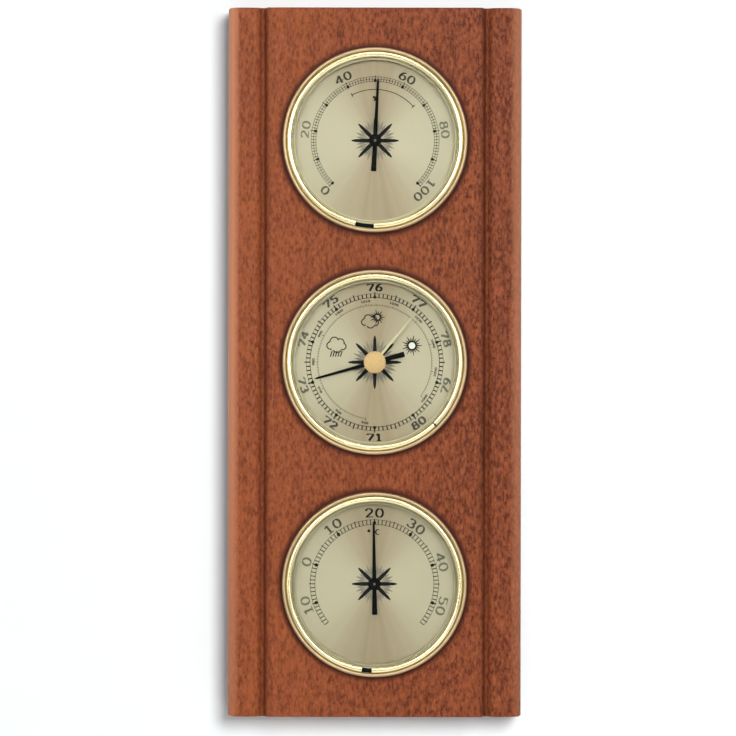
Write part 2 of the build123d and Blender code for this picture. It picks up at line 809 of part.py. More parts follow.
# The lever's own planes are turned about the axle to the rest pose
lever_side = side_plane(lever_pivot_height, lever_axis_out, 0, lever_turn)
lever_face = Plane(origin=lever_side.origin, x_dir=(1, 0, 0), z_dir=lever_side.y_dir)
pin_end = rocker_out + rocker_arm_thickness / 2 + lever_pin_gap - lever_axis_out
with BuildPart() as capsule_lever:
    with BuildSketch(lever_side):
        Circle(lever_knuckle_radius)
    extrude(amount=lever_knuckle_length / 2, both=True)
    with BuildSketch(lever_face.offset(-lever_thickness / 2)):
        reach = lever_reach + lever_tip_width / 2
        Polygon(
            (-lever_width / 2, 0), (lever_width / 2, 0), (lever_tip_width / 2, -reach),
            (-lever_tip_width / 2, -reach),
            align=None,
        )
    extrude(amount=lever_thickness)
    with BuildSketch(lever_face):
        with Locations((0, -lever_reach)):
            Circle(lever_pin_radius)
    extrude(amount=pin_end)
    with BuildSketch(lever_side):
        Circle(lever_axle_radius)
    extrude(amount=lever_knuckle_length, both=True, mode=Mode.SUBTRACT)
write(capsule_lever, "capsule_lever")

# Rocking shaft: a short arm under the lever's pin and a tall post beside the sector's tail
rocker_bracket = ear_bracket(
    rocker_height, rocker_out, rocker_left - ear_thickness, rocker_right + ear_thickness,
    rocker_ear_radius, rocker_pivot_radius + shaft_play,
)
write(rocker_bracket, "rocker_bracket")

rocker_side = side_plane(rocker_height, rocker_out, 0, -rocker_turn)
post_near = sector_tail_half_width + sector_arm_gap
post_top = sector_back + sector_thickness + 2 * loose_play - rocker_out
with BuildPart() as rocking_shaft:
    with BuildSketch(rocker_side.offset(rocker_left + loose_play)):
        Circle(rocker_radius)
    extrude(amount=rocker_right - rocker_left - 2 * loose_play)
    with BuildSketch(rocker_side.offset(rocker_left - ear_thickness)):
        Circle(rocker_pivot_radius)
    extrude(amount=rocker_right - rocker_left + 2 * ear_thickness)
    with BuildSketch(rocker_side):
        with Locations(((rocker_arm_reach + lever_pin_radius) / 2, 0)):
            Rectangle(rocker_arm_reach + 2 * lever_pin_radius, rocker_arm_thickness)
    extrude(amount=rocker_arm_width / 2, both=True)
    with BuildSketch(rocker_side.offset(sector_arm)):
        Polygon(
            (0, -rocker_radius), (post_near + rocker_post_thickness, -rocker_radius),
            (post_near + rocker_post_thickness, post_top), (post_near, post_top), (post_near, rocker_radius),
            (0, rocker_radius),
            align=None,
        )
    extrude(amount=rocker_post_width / 2, both=True)
write(rocking_shaft, "rocking_shaft")

# Two bearing plates on stepped pillars
pillar_neck = (rear_plate_front + front_plate_back) / 2


def bearing_plate(pillar_hole, pointer_bearing):
    """Three-cornered plate with rounded corners around the pillars and two bearing holes."""
    with BuildSketch() as plate:
        Polygon(*pillar_places, align=None)
        offset(amount=plate_corner_radius)
        with Locations(*pillar_places):
            Circle(pillar_hole, mode=Mode.SUBTRACT)
        Circle(pointer_bearing, mode=Mode.SUBTRACT)
        with Locations((0, sector_axis_up)):
            Circle(pivot_radius + shaft_play, mode=Mode.SUBTRACT)
    return plate.sketch


with BuildPart() as rear_plate:
    with BuildSketch(dial_plane(barometer_height, rear_plate_back)):
        add(bearing_plate(pillar_stub_radius + fit_play, pivot_radius + shaft_play))
        with Locations((sector_arm, rocker_height + post_near + rocker_post_thickness / 2)):
            SlotOverall(rocker_slot_length, rocker_slot_width, rotation=90, mode=Mode.SUBTRACT)
    extrude(amount=rear_plate_thickness)
write(rear_plate, "rear_plate")

with BuildPart() as front_plate:
    with BuildSketch(dial_plane(barometer_height, front_plate_back)):
        add(bearing_plate(pillar_stub_radius + fit_play, arbor_radius + shaft_play))
    extrude(amount=front_plate_thickness)
write(front_plate, "front_plate")

with BuildPart() as movement_pillars:
    for across, up in pillar_places:
        with BuildSketch(offset_section(barometer_height, across, up)):
            Polygon(
                (0, plate_front), (pillar_radius, plate_front), (pillar_radius, rear_plate_back),
                (pillar_stub_radius, rear_plate_back), (pillar_stub_radius, pillar_neck - loose_play),
                (0, pillar_neck - loose_play),
                align=None,
            )
            Polygon(
                (pillar_stub_radius + fit_play, rear_plate_front), (pillar_radius, rear_plate_front),
                (pillar_radius, front_plate_back), (pillar_stub_radius + fit_play, front_plate_back),
                align=None,
            )
        revolve(axis=dial_axis(barometer_height, across, up))
write(movement_pillars, "movement_pillars")

with BuildPart() as plate_screws:
    for across, up in pillar_places:
        with BuildSketch(offset_section(barometer_height, across, up)):
            Polygon(
                (0, pillar_neck + loose_play), (pillar_stub_radius, pillar_neck + loose_play),
                (pillar_stub_radius, front_plate_front), (plate_screw_head_radius, front_plate_front),
                (plate_screw_head_radius, front_plate_front + plate_screw_head),
                (0, front_plate_front + plate_screw_head),
                align=None,
            )
        revolve(axis=dial_axis(barometer_height, across, up))
write(plate_screws, "plate_screws")

# Wheel train with involute flanks


def tooth(pitch_radius, tooth_number, addendum, angle):
    """One involute tooth standing on the root circle at the given angle, with its foot below the root."""
    base = pitch_radius * cos(radians(pressure_angle))
    root = pitch_radius - dedendum
    tip = pitch_radius + addendum

    def half_angle(radius):
        spread = acos(base / radius) if radius > base else 0.0
        pitch_spread = radians(pressure_angle)
        half = pi / (2 * tooth_number) - backlash / (4 * pitch_radius)
        return half + (tan(pitch_spread) - pitch_spread) - (tan(spread) - spread)

    def point(radius, side):
        turn = radians(angle) + side * half_angle(radius)
        return (radius * cos(turn), radius * sin(turn))

    def foot_point(side):
        low = point(start, side)
        return tuple(value * foot / start for value in low)

    start = max(base, root)
    foot = root - dedendum / 3
    radii = [start + (tip - start) * step / 3 for step in range(4)]
    with BuildSketch() as shape:
        with BuildLine():
            for side in (-1, 1):
                Spline(*[point(radius, side) for radius in radii])
                Line(point(start, side), foot_point(side))
            Line(point(tip, -1), point(tip, 1))
            Line(foot_point(-1), foot_point(1))
        make_face()
    return shape.sketch


# Pointer arbor with its pinion; a gap faces the sector at mid-scale
with BuildPart() as pinion_arbor:
    with BuildSketch(radial_plane(barometer_height)):
        Polygon(
            (0, rear_plate_back), (pivot_radius, rear_plate_back),
            (pivot_radius, rear_plate_front + loose_play),
            (spring_collet_radius, rear_plate_front + loose_play), (spring_collet_radius, pinion_back),
            (pinion_radius - dedendum, pinion_back), (pinion_radius - dedendum, pinion_front),
            (arbor_radius, pinion_front), (arbor_radius, hub_back), (seat_radius, hub_back),
            (seat_radius, arbor_end), (0, arbor_end),
            align=None,
        )
    revolve(axis=dial_axis(barometer_height))
    with BuildSketch(dial_plane(barometer_height, pinion_back)):
        for number in range(pinion_teeth):
            tooth_turn = -90 + 360 / pinion_teeth * (number + 0.5) - pointer_turn
            add(tooth(pinion_radius, pinion_teeth, pinion_addendum, tooth_turn))
    extrude(amount=pinion_front - pinion_back)
write(pinion_arbor, "pinion_arbor")

# Toothed sector with two spokes and a tail, turned to the rest pose about its own arbor
sector_height = barometer_height + sector_axis_up
rim_outer = sector_radius - dedendum
rim_inner = rim_outer - sector_rim
rim_half = 360 / sector_teeth * (sector_cut_teeth + 0.6) / 2
with BuildPart() as toothed_sector:
    with BuildSketch(dial_plane(sector_height, sector_back, sector_turn)):
        with BuildLine():
            CenterArc((0, 0), rim_outer, 90 - rim_half, 2 * rim_half)
            CenterArc((0, 0), rim_inner, 90 - rim_half, 2 * rim_half)
            for edge in (radians(90 - rim_half), radians(90 + rim_half)):
                Line(
                    (rim_inner * cos(edge), rim_inner * sin(edge)),
                    (rim_outer * cos(edge), rim_outer * sin(edge)),
                )
        make_face()
        for number in range(sector_cut_teeth):
            tooth_turn = 90 + 360 / sector_teeth * (number - (sector_cut_teeth - 1) / 2)
            add(tooth(sector_radius, sector_teeth, sector_addendum, tooth_turn))
        spoke = rim_inner + sector_rim / 2
        for side in (-1, 1):
            lean = radians(90 + side * sector_spoke_angle)
            with Locations((spoke / 2 * cos(lean), spoke / 2 * sin(lean))):
                Rectangle(spoke, sector_spoke_width, rotation=degrees(lean))
        Circle(sector_hub_radius)
        with Locations((sector_tail_reach / 2, 0)):
            Rectangle(sector_tail_reach, 2 * sector_tail_half_width)
        Circle(arbor_radius, mode=Mode.SUBTRACT)
    extrude(amount=sector_thickness)
write(toothed_sector, "toothed_sector")

with BuildPart() as sector_arbor:
    with BuildSketch(radial_plane(sector_height)):
        Polygon(
            (0, rear_plate_back), (pivot_radius, rear_plate_back),
            (pivot_radius, rear_plate_front + loose_play),
            (sector_seat_radius, rear_plate_front + loose_play), (sector_seat_radius, sector_back),
            (arbor_radius, sector_back), (arbor_radius, front_plate_back - loose_play),
            (pivot_radius, front_plate_back - loose_play), (pivot_radius, front_plate_front),
            (0, front_plate_front),
            align=None,
        )
    revolve(axis=dial_axis(sector_height))
write(sector_arbor, "sector_arbor")

# Hairspring on the pointer arbor, its outer end on a stud of the rear plate
spring_end_radius = spring_start_radius + spring_half_turns * spring_pitch / 2
with BuildPart() as hairspring:
    with BuildSketch(dial_plane(barometer_height, spring_back)):
        add(spiral_strip(spring_start_radius, spring_pitch, spring_half_turns, spring_thickness))
    extrude(amount=spring_width)
write(hairspring, "hairspring")

with BuildPart() as hairspring_stud:
    with BuildSketch(dial_plane(barometer_height, rear_plate_front)):
        with Locations((spring_end_radius, spring_stud_width / 2)):
            Rectangle(spring_stud_width, spring_stud_width)
    extrude(amount=spring_back + spring_width - rear_plate_front)
write(hairspring_stud, "hairspring_stud")

# Knurled knob on the glass and the set hand it turns
knob_core = knob_radius - 2 * knurl_radius
knob_side_top = knob_base + knob_height - knob_dome
dome_radius = (knob_core**2 + knob_dome**2) / (2 * knob_dome)
dome_spread = degrees(atan2(knob_core, dome_radius - knob_dome))
with BuildPart() as set_knob:
    with BuildSketch(radial_plane(barometer_height)):
        with BuildLine():
            Polyline(
                (0, knob_base + knob_height), (0, knob_stub_end), (knob_stub_radius, knob_stub_end),
                (knob_stub_radius, knob_shoulder), (knob_shaft_radius, knob_shoulder),
                (knob_shaft_radius, knob_base), (knob_core, knob_base), (knob_core, knob_side_top),
            )
            CenterArc((0, knob_base + knob_height - dome_radius), dome_radius, 90 - dome_spread, dome_spread)
        make_face()
    revolve(axis=dial_axis(barometer_height))
    with BuildSketch(dial_plane(barometer_height, knob_base + knob_lip)):
        Circle(knob_radius)
        with PolarLocations(knob_radius + knurl_radius / 3, knurl_count):
            Circle(knurl_radius, mode=Mode.SUBTRACT)
    extrude(amount=knob_height - knob_dome - 2 * knob_lip)
write(set_knob, "set_knob")

with BuildPart() as set_hand:
    with BuildSketch(dial_plane(barometer_height, set_hand_back, set_hand_angle)):
        Polygon(
            (-set_hand_width / 2, 0), (-set_hand_tip_width / 2, set_hand_length),
            (set_hand_tip_width / 2, set_hand_length), (set_hand_width / 2, 0),
            align=None,
        )
    extrude(amount=set_hand_thickness)
    with BuildSketch(dial_plane(barometer_height, set_hub_back)):
        Circle(set_hub_radius)
    extrude(amount=knob_shoulder - set_hub_back)
    with BuildSketch(dial_plane(barometer_height, set_hub_back)):
        Circle(knob_stub_radius)
    extrude(amount=knob_shoulder - set_hub_back, mode=Mode.SUBTRACT)
write(set_hand, "set_hand")
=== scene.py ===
# %% [markdown]
# # A wall weather station
# A grooved board carries three instruments with brass rims: a hygrometer, an aneroid barometer and a
# thermometer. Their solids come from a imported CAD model, in metres, with +Z up and the dials facing -Y.
# This lesson gives every piece its finish and adds what a CAD model leaves out, such as printed scales.

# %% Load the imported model
import json
import math

import bmesh
import bpy
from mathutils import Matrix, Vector


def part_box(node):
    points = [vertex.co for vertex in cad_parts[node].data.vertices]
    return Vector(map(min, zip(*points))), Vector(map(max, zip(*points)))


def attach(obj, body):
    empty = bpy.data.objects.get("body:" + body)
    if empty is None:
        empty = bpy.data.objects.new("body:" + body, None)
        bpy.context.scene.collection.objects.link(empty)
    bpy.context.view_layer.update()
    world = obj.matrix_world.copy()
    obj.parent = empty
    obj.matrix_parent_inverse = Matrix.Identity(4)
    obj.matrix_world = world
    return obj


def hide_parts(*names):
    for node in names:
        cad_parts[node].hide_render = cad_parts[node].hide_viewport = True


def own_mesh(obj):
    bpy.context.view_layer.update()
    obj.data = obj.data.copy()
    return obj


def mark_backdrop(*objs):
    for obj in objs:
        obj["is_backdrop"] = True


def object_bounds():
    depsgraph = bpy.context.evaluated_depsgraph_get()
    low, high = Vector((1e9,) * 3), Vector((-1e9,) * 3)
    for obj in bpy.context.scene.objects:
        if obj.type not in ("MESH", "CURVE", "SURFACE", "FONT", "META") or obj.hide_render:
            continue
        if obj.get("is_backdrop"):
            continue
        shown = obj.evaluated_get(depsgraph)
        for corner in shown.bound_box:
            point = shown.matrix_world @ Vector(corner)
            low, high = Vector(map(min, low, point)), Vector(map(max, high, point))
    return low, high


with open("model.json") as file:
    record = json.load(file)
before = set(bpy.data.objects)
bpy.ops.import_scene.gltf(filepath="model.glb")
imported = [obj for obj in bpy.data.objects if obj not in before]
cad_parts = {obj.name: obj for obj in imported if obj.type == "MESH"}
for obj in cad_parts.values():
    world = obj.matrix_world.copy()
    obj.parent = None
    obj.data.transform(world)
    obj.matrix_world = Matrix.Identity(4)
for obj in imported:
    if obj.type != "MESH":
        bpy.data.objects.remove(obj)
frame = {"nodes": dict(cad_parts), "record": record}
nodes = frame["nodes"]
scene = bpy.context.scene
cad_low, cad_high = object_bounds()
mm = 0.001

# %% [markdown]
# Everything on a dial is set out from its middle, so the three middles are read from the frame first.
# A place on a dial is given in millimetres to the right of its middle and above it. Angles run clockwise
# from the top, as on the scales.

# %% Find the three dials
INSTRUMENTS = ("hygrometer", "barometer", "thermometer")


def dial_middle(name):
    low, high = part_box(name + "_dial")
    return Vector(((low.x + high.x) / 2, low.y, (low.z + high.z) / 2))


middles = {name: dial_middle(name) for name in INSTRUMENTS}
board_low, board_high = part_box("board")
board_front = board_low.y
dial_pitch = middles["hygrometer"].z - middles["barometer"].z
for name, middle in middles.items():
    print(name, "dial at", [round(value / mm, 2) for value in middle])

# %% [markdown]
# The photograph looks straight at the board from about a metre and a half. That is near enough for the
# grooves to show as small notches in the ends, and far enough for the prints to stay in the middle of their
# rims. The lens follows from the real width that the frame takes in at the rims' plane. A tenth of a degree
# about the view axis repeats the board's slight lean.

# %% Camera
FRAME_WIDTH = 337.9 * mm
CAMERA_STEP_BACK = 1.5
CAMERA_ASIDE = -3.1 * mm
CAMERA_DROP = 2.65 * mm
CAMERA_LEAN = math.radians(-0.1)
SENSOR_WIDTH = 36.0
QUARTER_TURN = math.radians(90)


def add_object(name, data):
    """Puts a camera, lamp or mesh in the scene."""
    made = bpy.data.objects.new(name, data)
    scene.collection.objects.link(made)
    return made


rim_low, rim_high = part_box("barometer_bezel")
camera_data = bpy.data.cameras.new("camera")
camera_data.sensor_width = SENSOR_WIDTH
camera_data.lens = SENSOR_WIDTH * CAMERA_STEP_BACK / FRAME_WIDTH
camera = add_object("camera", camera_data)
camera.location = (CAMERA_ASIDE, rim_low.y - CAMERA_STEP_BACK, middles["barometer"].z - CAMERA_DROP)
camera.rotation_euler = (QUARTER_TURN, CAMERA_LEAN, 0)
scene.camera = camera
print("lens", round(camera_data.lens, 1), "mm")

# %% [markdown]
# Finishes are node trees, and a few small helpers keep them readable. One starts a material with its
# Principled shader, one adds a node, sets its options and joins its inputs, and the others are short names
# for the nodes that come back most: sums, mixes, noise, ramps and bump.

# %% Helpers for finishes
EVEN_GRAIN = (1.0, 1.0, 1.0)
NOISE_LOW = 0.3
NOISE_HIGH = 0.7


def new_finish(name, **values):
    """A material and its tree, with plain numbers set on the shader's own sockets."""
    material = bpy.data.materials.new(name)
    material.use_nodes = True
    shader = material.node_tree.nodes["Principled BSDF"]
    for socket, value in values.items():
        shader.inputs[socket.replace("_", " ")].default_value = value
    return material, material.node_tree, shader


def put(tree, kind, joins=(), **options):
    """Adds a node; joins holds (input, value or output socket) pairs."""
    made = tree.nodes.new(kind)
    for key, value in options.items():
        setattr(made, key, value)
    for socket, value in joins:
        if isinstance(value, bpy.types.NodeSocket):
            tree.links.new(value, made.inputs[socket])
        else:
            made.inputs[socket].default_value = value
    return made


def calc(tree, operation, *values):
    return put(tree, "ShaderNodeMath", enumerate(values), operation=operation).outputs[0]


def vector_node(tree, operation, *values):
    return put(tree, "ShaderNodeVectorMath", enumerate(values), operation=operation).outputs


def split(tree, vector):
    return put(tree, "ShaderNodeSeparateXYZ", [(0, vector)]).outputs


def product(tree, first, *others):
    for other in others:
        first = calc(tree, "MULTIPLY", first, other)
    return first


def blend_values(tree, factor, first, second):
    return put(tree, "ShaderNodeMix", [(0, factor), (2, first), (3, second)]).outputs[0]


def blend(tree, factor, first, second):
    """Mixes two colours, each a plain colour or a socket."""
    mix = put(tree, "ShaderNodeMix", [(0, factor)], data_type="RGBA")
    for index, value in ((6, first), (7, second)):
        if isinstance(value, bpy.types.NodeSocket):
            tree.links.new(value, mix.inputs[index])
        else:
            mix.inputs[index].default_value = (*value, 1.0)
    return mix.outputs[2]


def stretched_noise(tree, place, stretch, scale, detail=3.0, roughness=0.55):
    """Noise on coordinates that are squeezed first, so its grains come out longer one way."""
    mapping = put(tree, "ShaderNodeMapping", [("Vector", place), ("Scale", stretch)])
    joins = [
        ("Vector", mapping.outputs[0]), ("Scale", scale), ("Detail", detail), ("Roughness", roughness),
    ]
    return put(tree, "ShaderNodeTexNoise", joins).outputs["Fac"]


def ramp(tree, value, low, high, to_low=0.0, to_high=1.0):
    joins = enumerate((value, low, high, to_low, to_high))
    return put(tree, "ShaderNodeMapRange", joins).outputs[0]


def spread(tree, noise, to_low=0.0, to_high=1.0):
    """Noise keeps to the middle of its range, and this stretches that middle over a wider one."""
    return ramp(tree, noise, NOISE_LOW, NOISE_HIGH, to_low, to_high)


def coat(tree, shader, colour, roughness):
    tree.links.new(colour, shader.inputs["Base Color"])
    tree.links.new(roughness, shader.inputs["Roughness"])


def raise_surface(tree, shader, height, depth):
    """Joins a height pattern to the shader as bump; depth is in metres."""
    bump = put(tree, "ShaderNodeBump", [("Height", height), ("Distance", depth), ("Strength", 1.0)])
    tree.links.new(bump.outputs[0], shader.inputs["Normal"])


def object_place(tree):
    return put(tree, "ShaderNodeTexCoord").outputs["Object"]


def dress(material, *names):
    """Gives CAD nodes a finish."""
    for name in names:
        nodes[name].data.materials.clear()
        nodes[name].data.materials.append(material)


print("finish helpers ready")

# %% [markdown]
# The board hangs on a white wall. A wall that is only lit would turn grey, and one that only glows would
# hold no shadow, so it does a little of both. It is cut out behind the board, which hides the opening, and
# clear from behind, so that the back of the board can be looked at too. The floor lies below the frame;
# the camera sees it white as far as it goes, while the metal mirrors it as it is lit.

# %% Wall and floor
WALL_REACH = 3.0
FLOOR_DROP = 0.75
OPENING_INSET = 3 * mm
WALL_GAP = 2.0 * mm
WALL_WHITE = (0.672, 0.695, 0.70)
WALL_GLOW = 0.06
FLOOR_WHITE = (0.86, 0.86, 0.86)
FLOOR_GLOW = 0.1
FLOOR_SEEN = 1.0
MATT = 0.9


def clear_where(tree, share, shader, tint=(1.0, 1.0, 1.0, 1.0)):
    """Makes a finish clear to the rays that share picks out."""
    clear = put(tree, "ShaderNodeBsdfTransparent", [("Color", tint)])
    joins = [(0, share), (1, shader.outputs[0]), (2, clear.outputs[0])]
    mix = put(tree, "ShaderNodeMixShader", joins)
    tree.links.new(mix.outputs[0], tree.nodes["Material Output"].inputs["Surface"])


def stage_finish(name, colour, glow, seen_glow):
    """A matt white that glows by seen_glow for the camera, and by glow in metal and through glass."""
    plain = {"Base_Color": (*colour, 1.0), "Roughness": MATT, "Specular_IOR_Level": 0.0}
    material, tree, shader = new_finish(name, **plain)
    rays = put(tree, "ShaderNodeLightPath").outputs
    mirrored = calc(tree, "MAXIMUM", rays["Is Glossy Ray"], rays["Is Transmission Ray"])
    mirrored = product(tree, mirrored, glow)
    strength = calc(tree, "MULTIPLY_ADD", rays["Is Camera Ray"], seen_glow, mirrored)
    light = put(tree, "ShaderNodeEmission", [("Strength", strength)])
    both = put(tree, "ShaderNodeAddShader", [(0, shader.outputs[0]), (1, light.outputs[0])])
    clear_where(tree, put(tree, "ShaderNodeNewGeometry").outputs["Backfacing"], both)
    return material


def flat_piece(name, points, faces, material):
    mesh = bpy.data.meshes.new(name)
    mesh.from_pydata(points, [], faces)
    mesh.materials.append(material)
    return add_object(name, mesh)


def ring_of_corners(left, right, low, high, y):
    return [(left, y, low), (right, y, low), (right, y, high), (left, y, high)]


wall_y = board_high.y + WALL_GAP
floor_z = board_low.z - FLOOR_DROP
outer = ring_of_corners(-WALL_REACH, WALL_REACH, floor_z, WALL_REACH, wall_y)
opening = ring_of_corners(
    board_low.x + OPENING_INSET, board_high.x - OPENING_INSET,
    board_low.z + OPENING_INSET, board_high.z - OPENING_INSET, wall_y,
)
wall_faces = [(side, (side + 1) % 4, 4 + (side + 1) % 4, 4 + side) for side in range(4)]
wall_white = stage_finish("wall_white", WALL_WHITE, WALL_GLOW, WALL_GLOW)
wall = flat_piece("wall", outer + opening, wall_faces, wall_white)
floor_corners = [
    (-WALL_REACH, -WALL_REACH, floor_z), (WALL_REACH, -WALL_REACH, floor_z),
    (WALL_REACH, wall_y, floor_z), (-WALL_REACH, wall_y, floor_z),
]
floor_white = stage_finish("floor_white", FLOOR_WHITE, FLOOR_GLOW, FLOOR_SEEN)
floor = flat_piece("floor", floor_corners, [(0, 1, 2, 3)], floor_white)
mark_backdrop(wall, floor)
print("wall at y", round(wall_y / mm, 2), "mm")

# %% [markdown]
# Two broad panels in front, left and right of the camera, light the dials evenly, as for copying a picture.
# They stand high enough to keep out of the glasses and to leave a soft shadow under the top of each rim. A
# panel overhead puts the white stretch on the rims between eleven and one, and one more lights the back.
# The wall has a lamp of its own, up on the right, because the photograph's shadow lies to the lower left
# while its dials are evenly lit; light linking keeps the two apart.

# %% Lights
object_centre = (cad_low + cad_high) / 2


def panel(name, offset, size, watts):
    """A light panel, set off in metres from the middle of the object and aimed at it."""
    data = bpy.data.lights.new(name, "AREA")
    data.shape = "RECTANGLE"
    data.size, data.size_y = size
    data.energy = watts
    lamp = add_object(name, data)
    lamp.location = object_centre + Vector(offset)
    lamp.rotation_euler = (-Vector(offset)).to_track_quat("-Z", "Y").to_euler()
    lamp.visible_camera = False
    return lamp


def light_group(name, state):
    """Says that a lamp lights the wall and floor only (INCLUDE), or all but them (EXCLUDE)."""
    group = bpy.data.collections.new(name)
    for piece in (wall, floor):
        group.objects.link(piece)
    for entry in group.collection_objects:
        entry.light_linking.link_state = state
    return group


wall_panel = panel("wall_panel", offset=(0.63, -2.2, 0.6), size=(0.9, 0.9), watts=64.5)
wall_panel.light_linking.receiver_collection = light_group("wall_alone", "INCLUDE")
left_panel = panel("left_panel", offset=(-0.75, -2.15, 0.5), size=(0.8, 0.9), watts=19.0)
right_panel = panel("right_panel", offset=(0.75, -2.15, 0.5), size=(0.8, 0.9), watts=19.0)
top_panel = panel("top_panel", offset=(0.17, -1.02, 1.62), size=(1.12, 0.42), watts=7.0)
not_on_wall = light_group("all_but_wall", "EXCLUDE")
for lamp in (left_panel, right_panel, top_panel):
    lamp.light_linking.receiver_collection = not_on_wall
panel("back_panel", offset=(0.4, 1.2, 0.5), size=(0.8, 0.8), watts=12.0)
print("five light panels")

# %% [markdown]
# Polished brass shows its surroundings and looks flat in an even room, so the room is pale in front and dim
# at the sides and below. It is dim behind the camera too, which keeps the glasses clear. White cloth left,
# right and overhead, which only mirroring surfaces show, draws the broad white bands along the rings, with
# gold between them. All of this depends on a direction alone, so it is a few ramps in the world's nodes.

# %% Room
SIDE_GLOW = 0.1
FRONT_GLOW = 0.34
MIDDLE_SHARE = 0.12
BELOW_SHARE = 0.35
CLOTH_EDGE = (0.05, 0.25)
SIDE_CLOTH_SLOPE = 1.3
TOP_CLOTH_SLOPE = 1.5
world = bpy.data.worlds.new("pale_room")
scene.world = world
world.use_nodes = True
room = world.node_tree
axes = split(room, put(room, "ShaderNodeTexCoord").outputs["Generated"])
ahead = product(room, axes["Y"], -1.0)
front_glow = ramp(room, ahead, 0.25, 0.6, SIDE_GLOW, FRONT_GLOW)
dim_middle = ramp(room, ahead, 0.93, 0.985, 1.0, MIDDLE_SHARE)
dim_below = ramp(room, axes["Z"], -0.5, 0.05, BELOW_SHARE, 1.0)
glow = product(room, front_glow, dim_middle, dim_below)
aside = calc(room, "ABSOLUTE", axes["X"])
level = calc(room, "ABSOLUTE", axes["Z"])
at_sides = calc(room, "MULTIPLY_ADD", level, -SIDE_CLOTH_SLOPE, aside)
overhead = calc(room, "MULTIPLY_ADD", aside, -TOP_CLOTH_SLOPE, axes["Z"])
at_sides, overhead = [ramp(room, value, *CLOTH_EDGE) for value in (at_sides, overhead)]
cloth = calc(room, "MAXIMUM", at_sides, overhead)
cloth = product(room, cloth, dim_middle, ramp(room, ahead, 0.22, 0.45))
mirrored = calc(room, "MAXIMUM", glow, cloth)
rays = put(room, "ShaderNodeLightPath").outputs
strength = blend_values(room, rays["Is Glossy Ray"], glow, mirrored)
strength = blend_values(room, rays["Is Camera Ray"], strength, 1.0)
background = room.nodes["Background"].inputs
room.links.new(strength, background["Strength"])
background["Color"].default_value = (1.0, 1.0, 1.0, 1.0)
scene.view_settings.view_transform = "Standard"
print("a pale room")

# %% [markdown]
# The board is a red-brown hardwood with a satin varnish. Its grain runs up the board: broad bands, patches
# of pinker wood, fine streaks and a mottle of short dark flecks, which are the open pores. Each is noise on
# Object coordinates that are squeezed along Z, so the pattern runs through the solid as real grain does and
# the end faces show end grain. The wood is warmer at the left and deeper and more flecked at the right.
# On the front, painted shade darkens the two grooves, a painted shadow rings the foot of each rim, and a
# painted highlight makes the rounded long edges pale.

# %% Wood finish
LEFT_WOOD = (0.315, 0.081, 0.0245)
RIGHT_WOOD = (0.198, 0.050, 0.0185)
PINK_WOOD = (0.270, 0.066, 0.026)
FLECK_WOOD = (0.105, 0.022, 0.008)
# Painted shade: the dark brown for the grooves and the foot of each rim.
PAINTED_SHADE_WOOD = (0.055, 0.012, 0.006)
PALE_WOOD = (0.400, 0.118, 0.042)
# Painted highlight: the pale wood of the rounded long edges.
EDGE_HIGHLIGHT_WOOD = (0.62, 0.26, 0.14)
PORE_DEPTH = 0.04 * mm
BAND_SCALE = 38.0
PATCH_SCALE = 190.0
STREAK_SCALE = 420.0
FLECK_SCALE = 930.0
# Where the painted groove shade lies and how dark it gets.
GROOVE_INSET = 17.0 * mm
GROOVE_REACH = 3.5 * mm
GROOVE_FLOOR = 1.0 * mm
GROOVE_SHADE_SHARE = 0.42
# Reach and strength of the painted edge highlight, strongest at the left and weaker below.
EDGE_HIGHLIGHT_REACH = 5.3 * mm
EDGE_HIGHLIGHT_FULL = 2.2 * mm
EDGE_HIGHLIGHT_LEFT = 0.85
EDGE_HIGHLIGHT_RIGHT = 0.45
EDGE_HIGHLIGHT_FADE_TOP = -150 * mm
EDGE_HIGHLIGHT_BOTTOM = 0.45
# Reach and strength of the painted shadow round the foot of each rim.
RIM_SHADOW_REACH = 2.9 * mm
RIM_SHADOW_FULL = 0.9 * mm
RIM_SHADOW_SHARE = 0.9
FRONT_DEPTH = 6.0 * mm
rim_foot = (rim_high.x - rim_low.x) / 2


def distance_from_rims(tree, place):
    """How far a point of the board lies outside the nearest rim."""
    flat = vector_node(tree, "MULTIPLY", place, (1.0, 0.0, 1.0))[0]
    nearest = 1.0
    for middle in middles.values():
        radius = vector_node(tree, "DISTANCE", flat, (middle.x, 0.0, middle.z))["Value"]
        nearest = calc(tree, "MINIMUM", radius, nearest)
    return calc(tree, "SUBTRACT", nearest, rim_foot)


def grain_colour(tree, place, across, flecks):
    """The bare wood: bands, pinker patches, streaks and flecks."""
    side = ramp(tree, across, board_low.x, board_high.x)
    bands = stretched_noise(tree, place, (1.0, 1.0, 0.12), BAND_SCALE, 2.0)
    side = calc(tree, "ADD", side, spread(tree, bands, -0.3, 0.3))
    patches = stretched_noise(tree, place, (1.0, 1.0, 0.4), PATCH_SCALE)
    streaks = stretched_noise(tree, place, (1.0, 1.0, 0.05), STREAK_SCALE)
    colour = blend(tree, side, LEFT_WOOD, RIGHT_WOOD)
    colour = blend(tree, ramp(tree, patches, 0.42, 0.62, 0.0, 0.7), colour, PINK_WOOD)
    colour = blend(tree, ramp(tree, streaks, 0.45, 0.75, 0.0, 0.25), colour, FLECK_WOOD)
    fleck_depth = ramp(tree, side, 0.0, 1.0, 0.55, 1.25)
    dark = product(tree, ramp(tree, flecks, 0.49, 0.63), fleck_depth)
    colour = blend(tree, dark, colour, FLECK_WOOD)
    return blend(tree, ramp(tree, flecks, 0.46, 0.3, 0.0, 0.7), colour, PALE_WOOD)


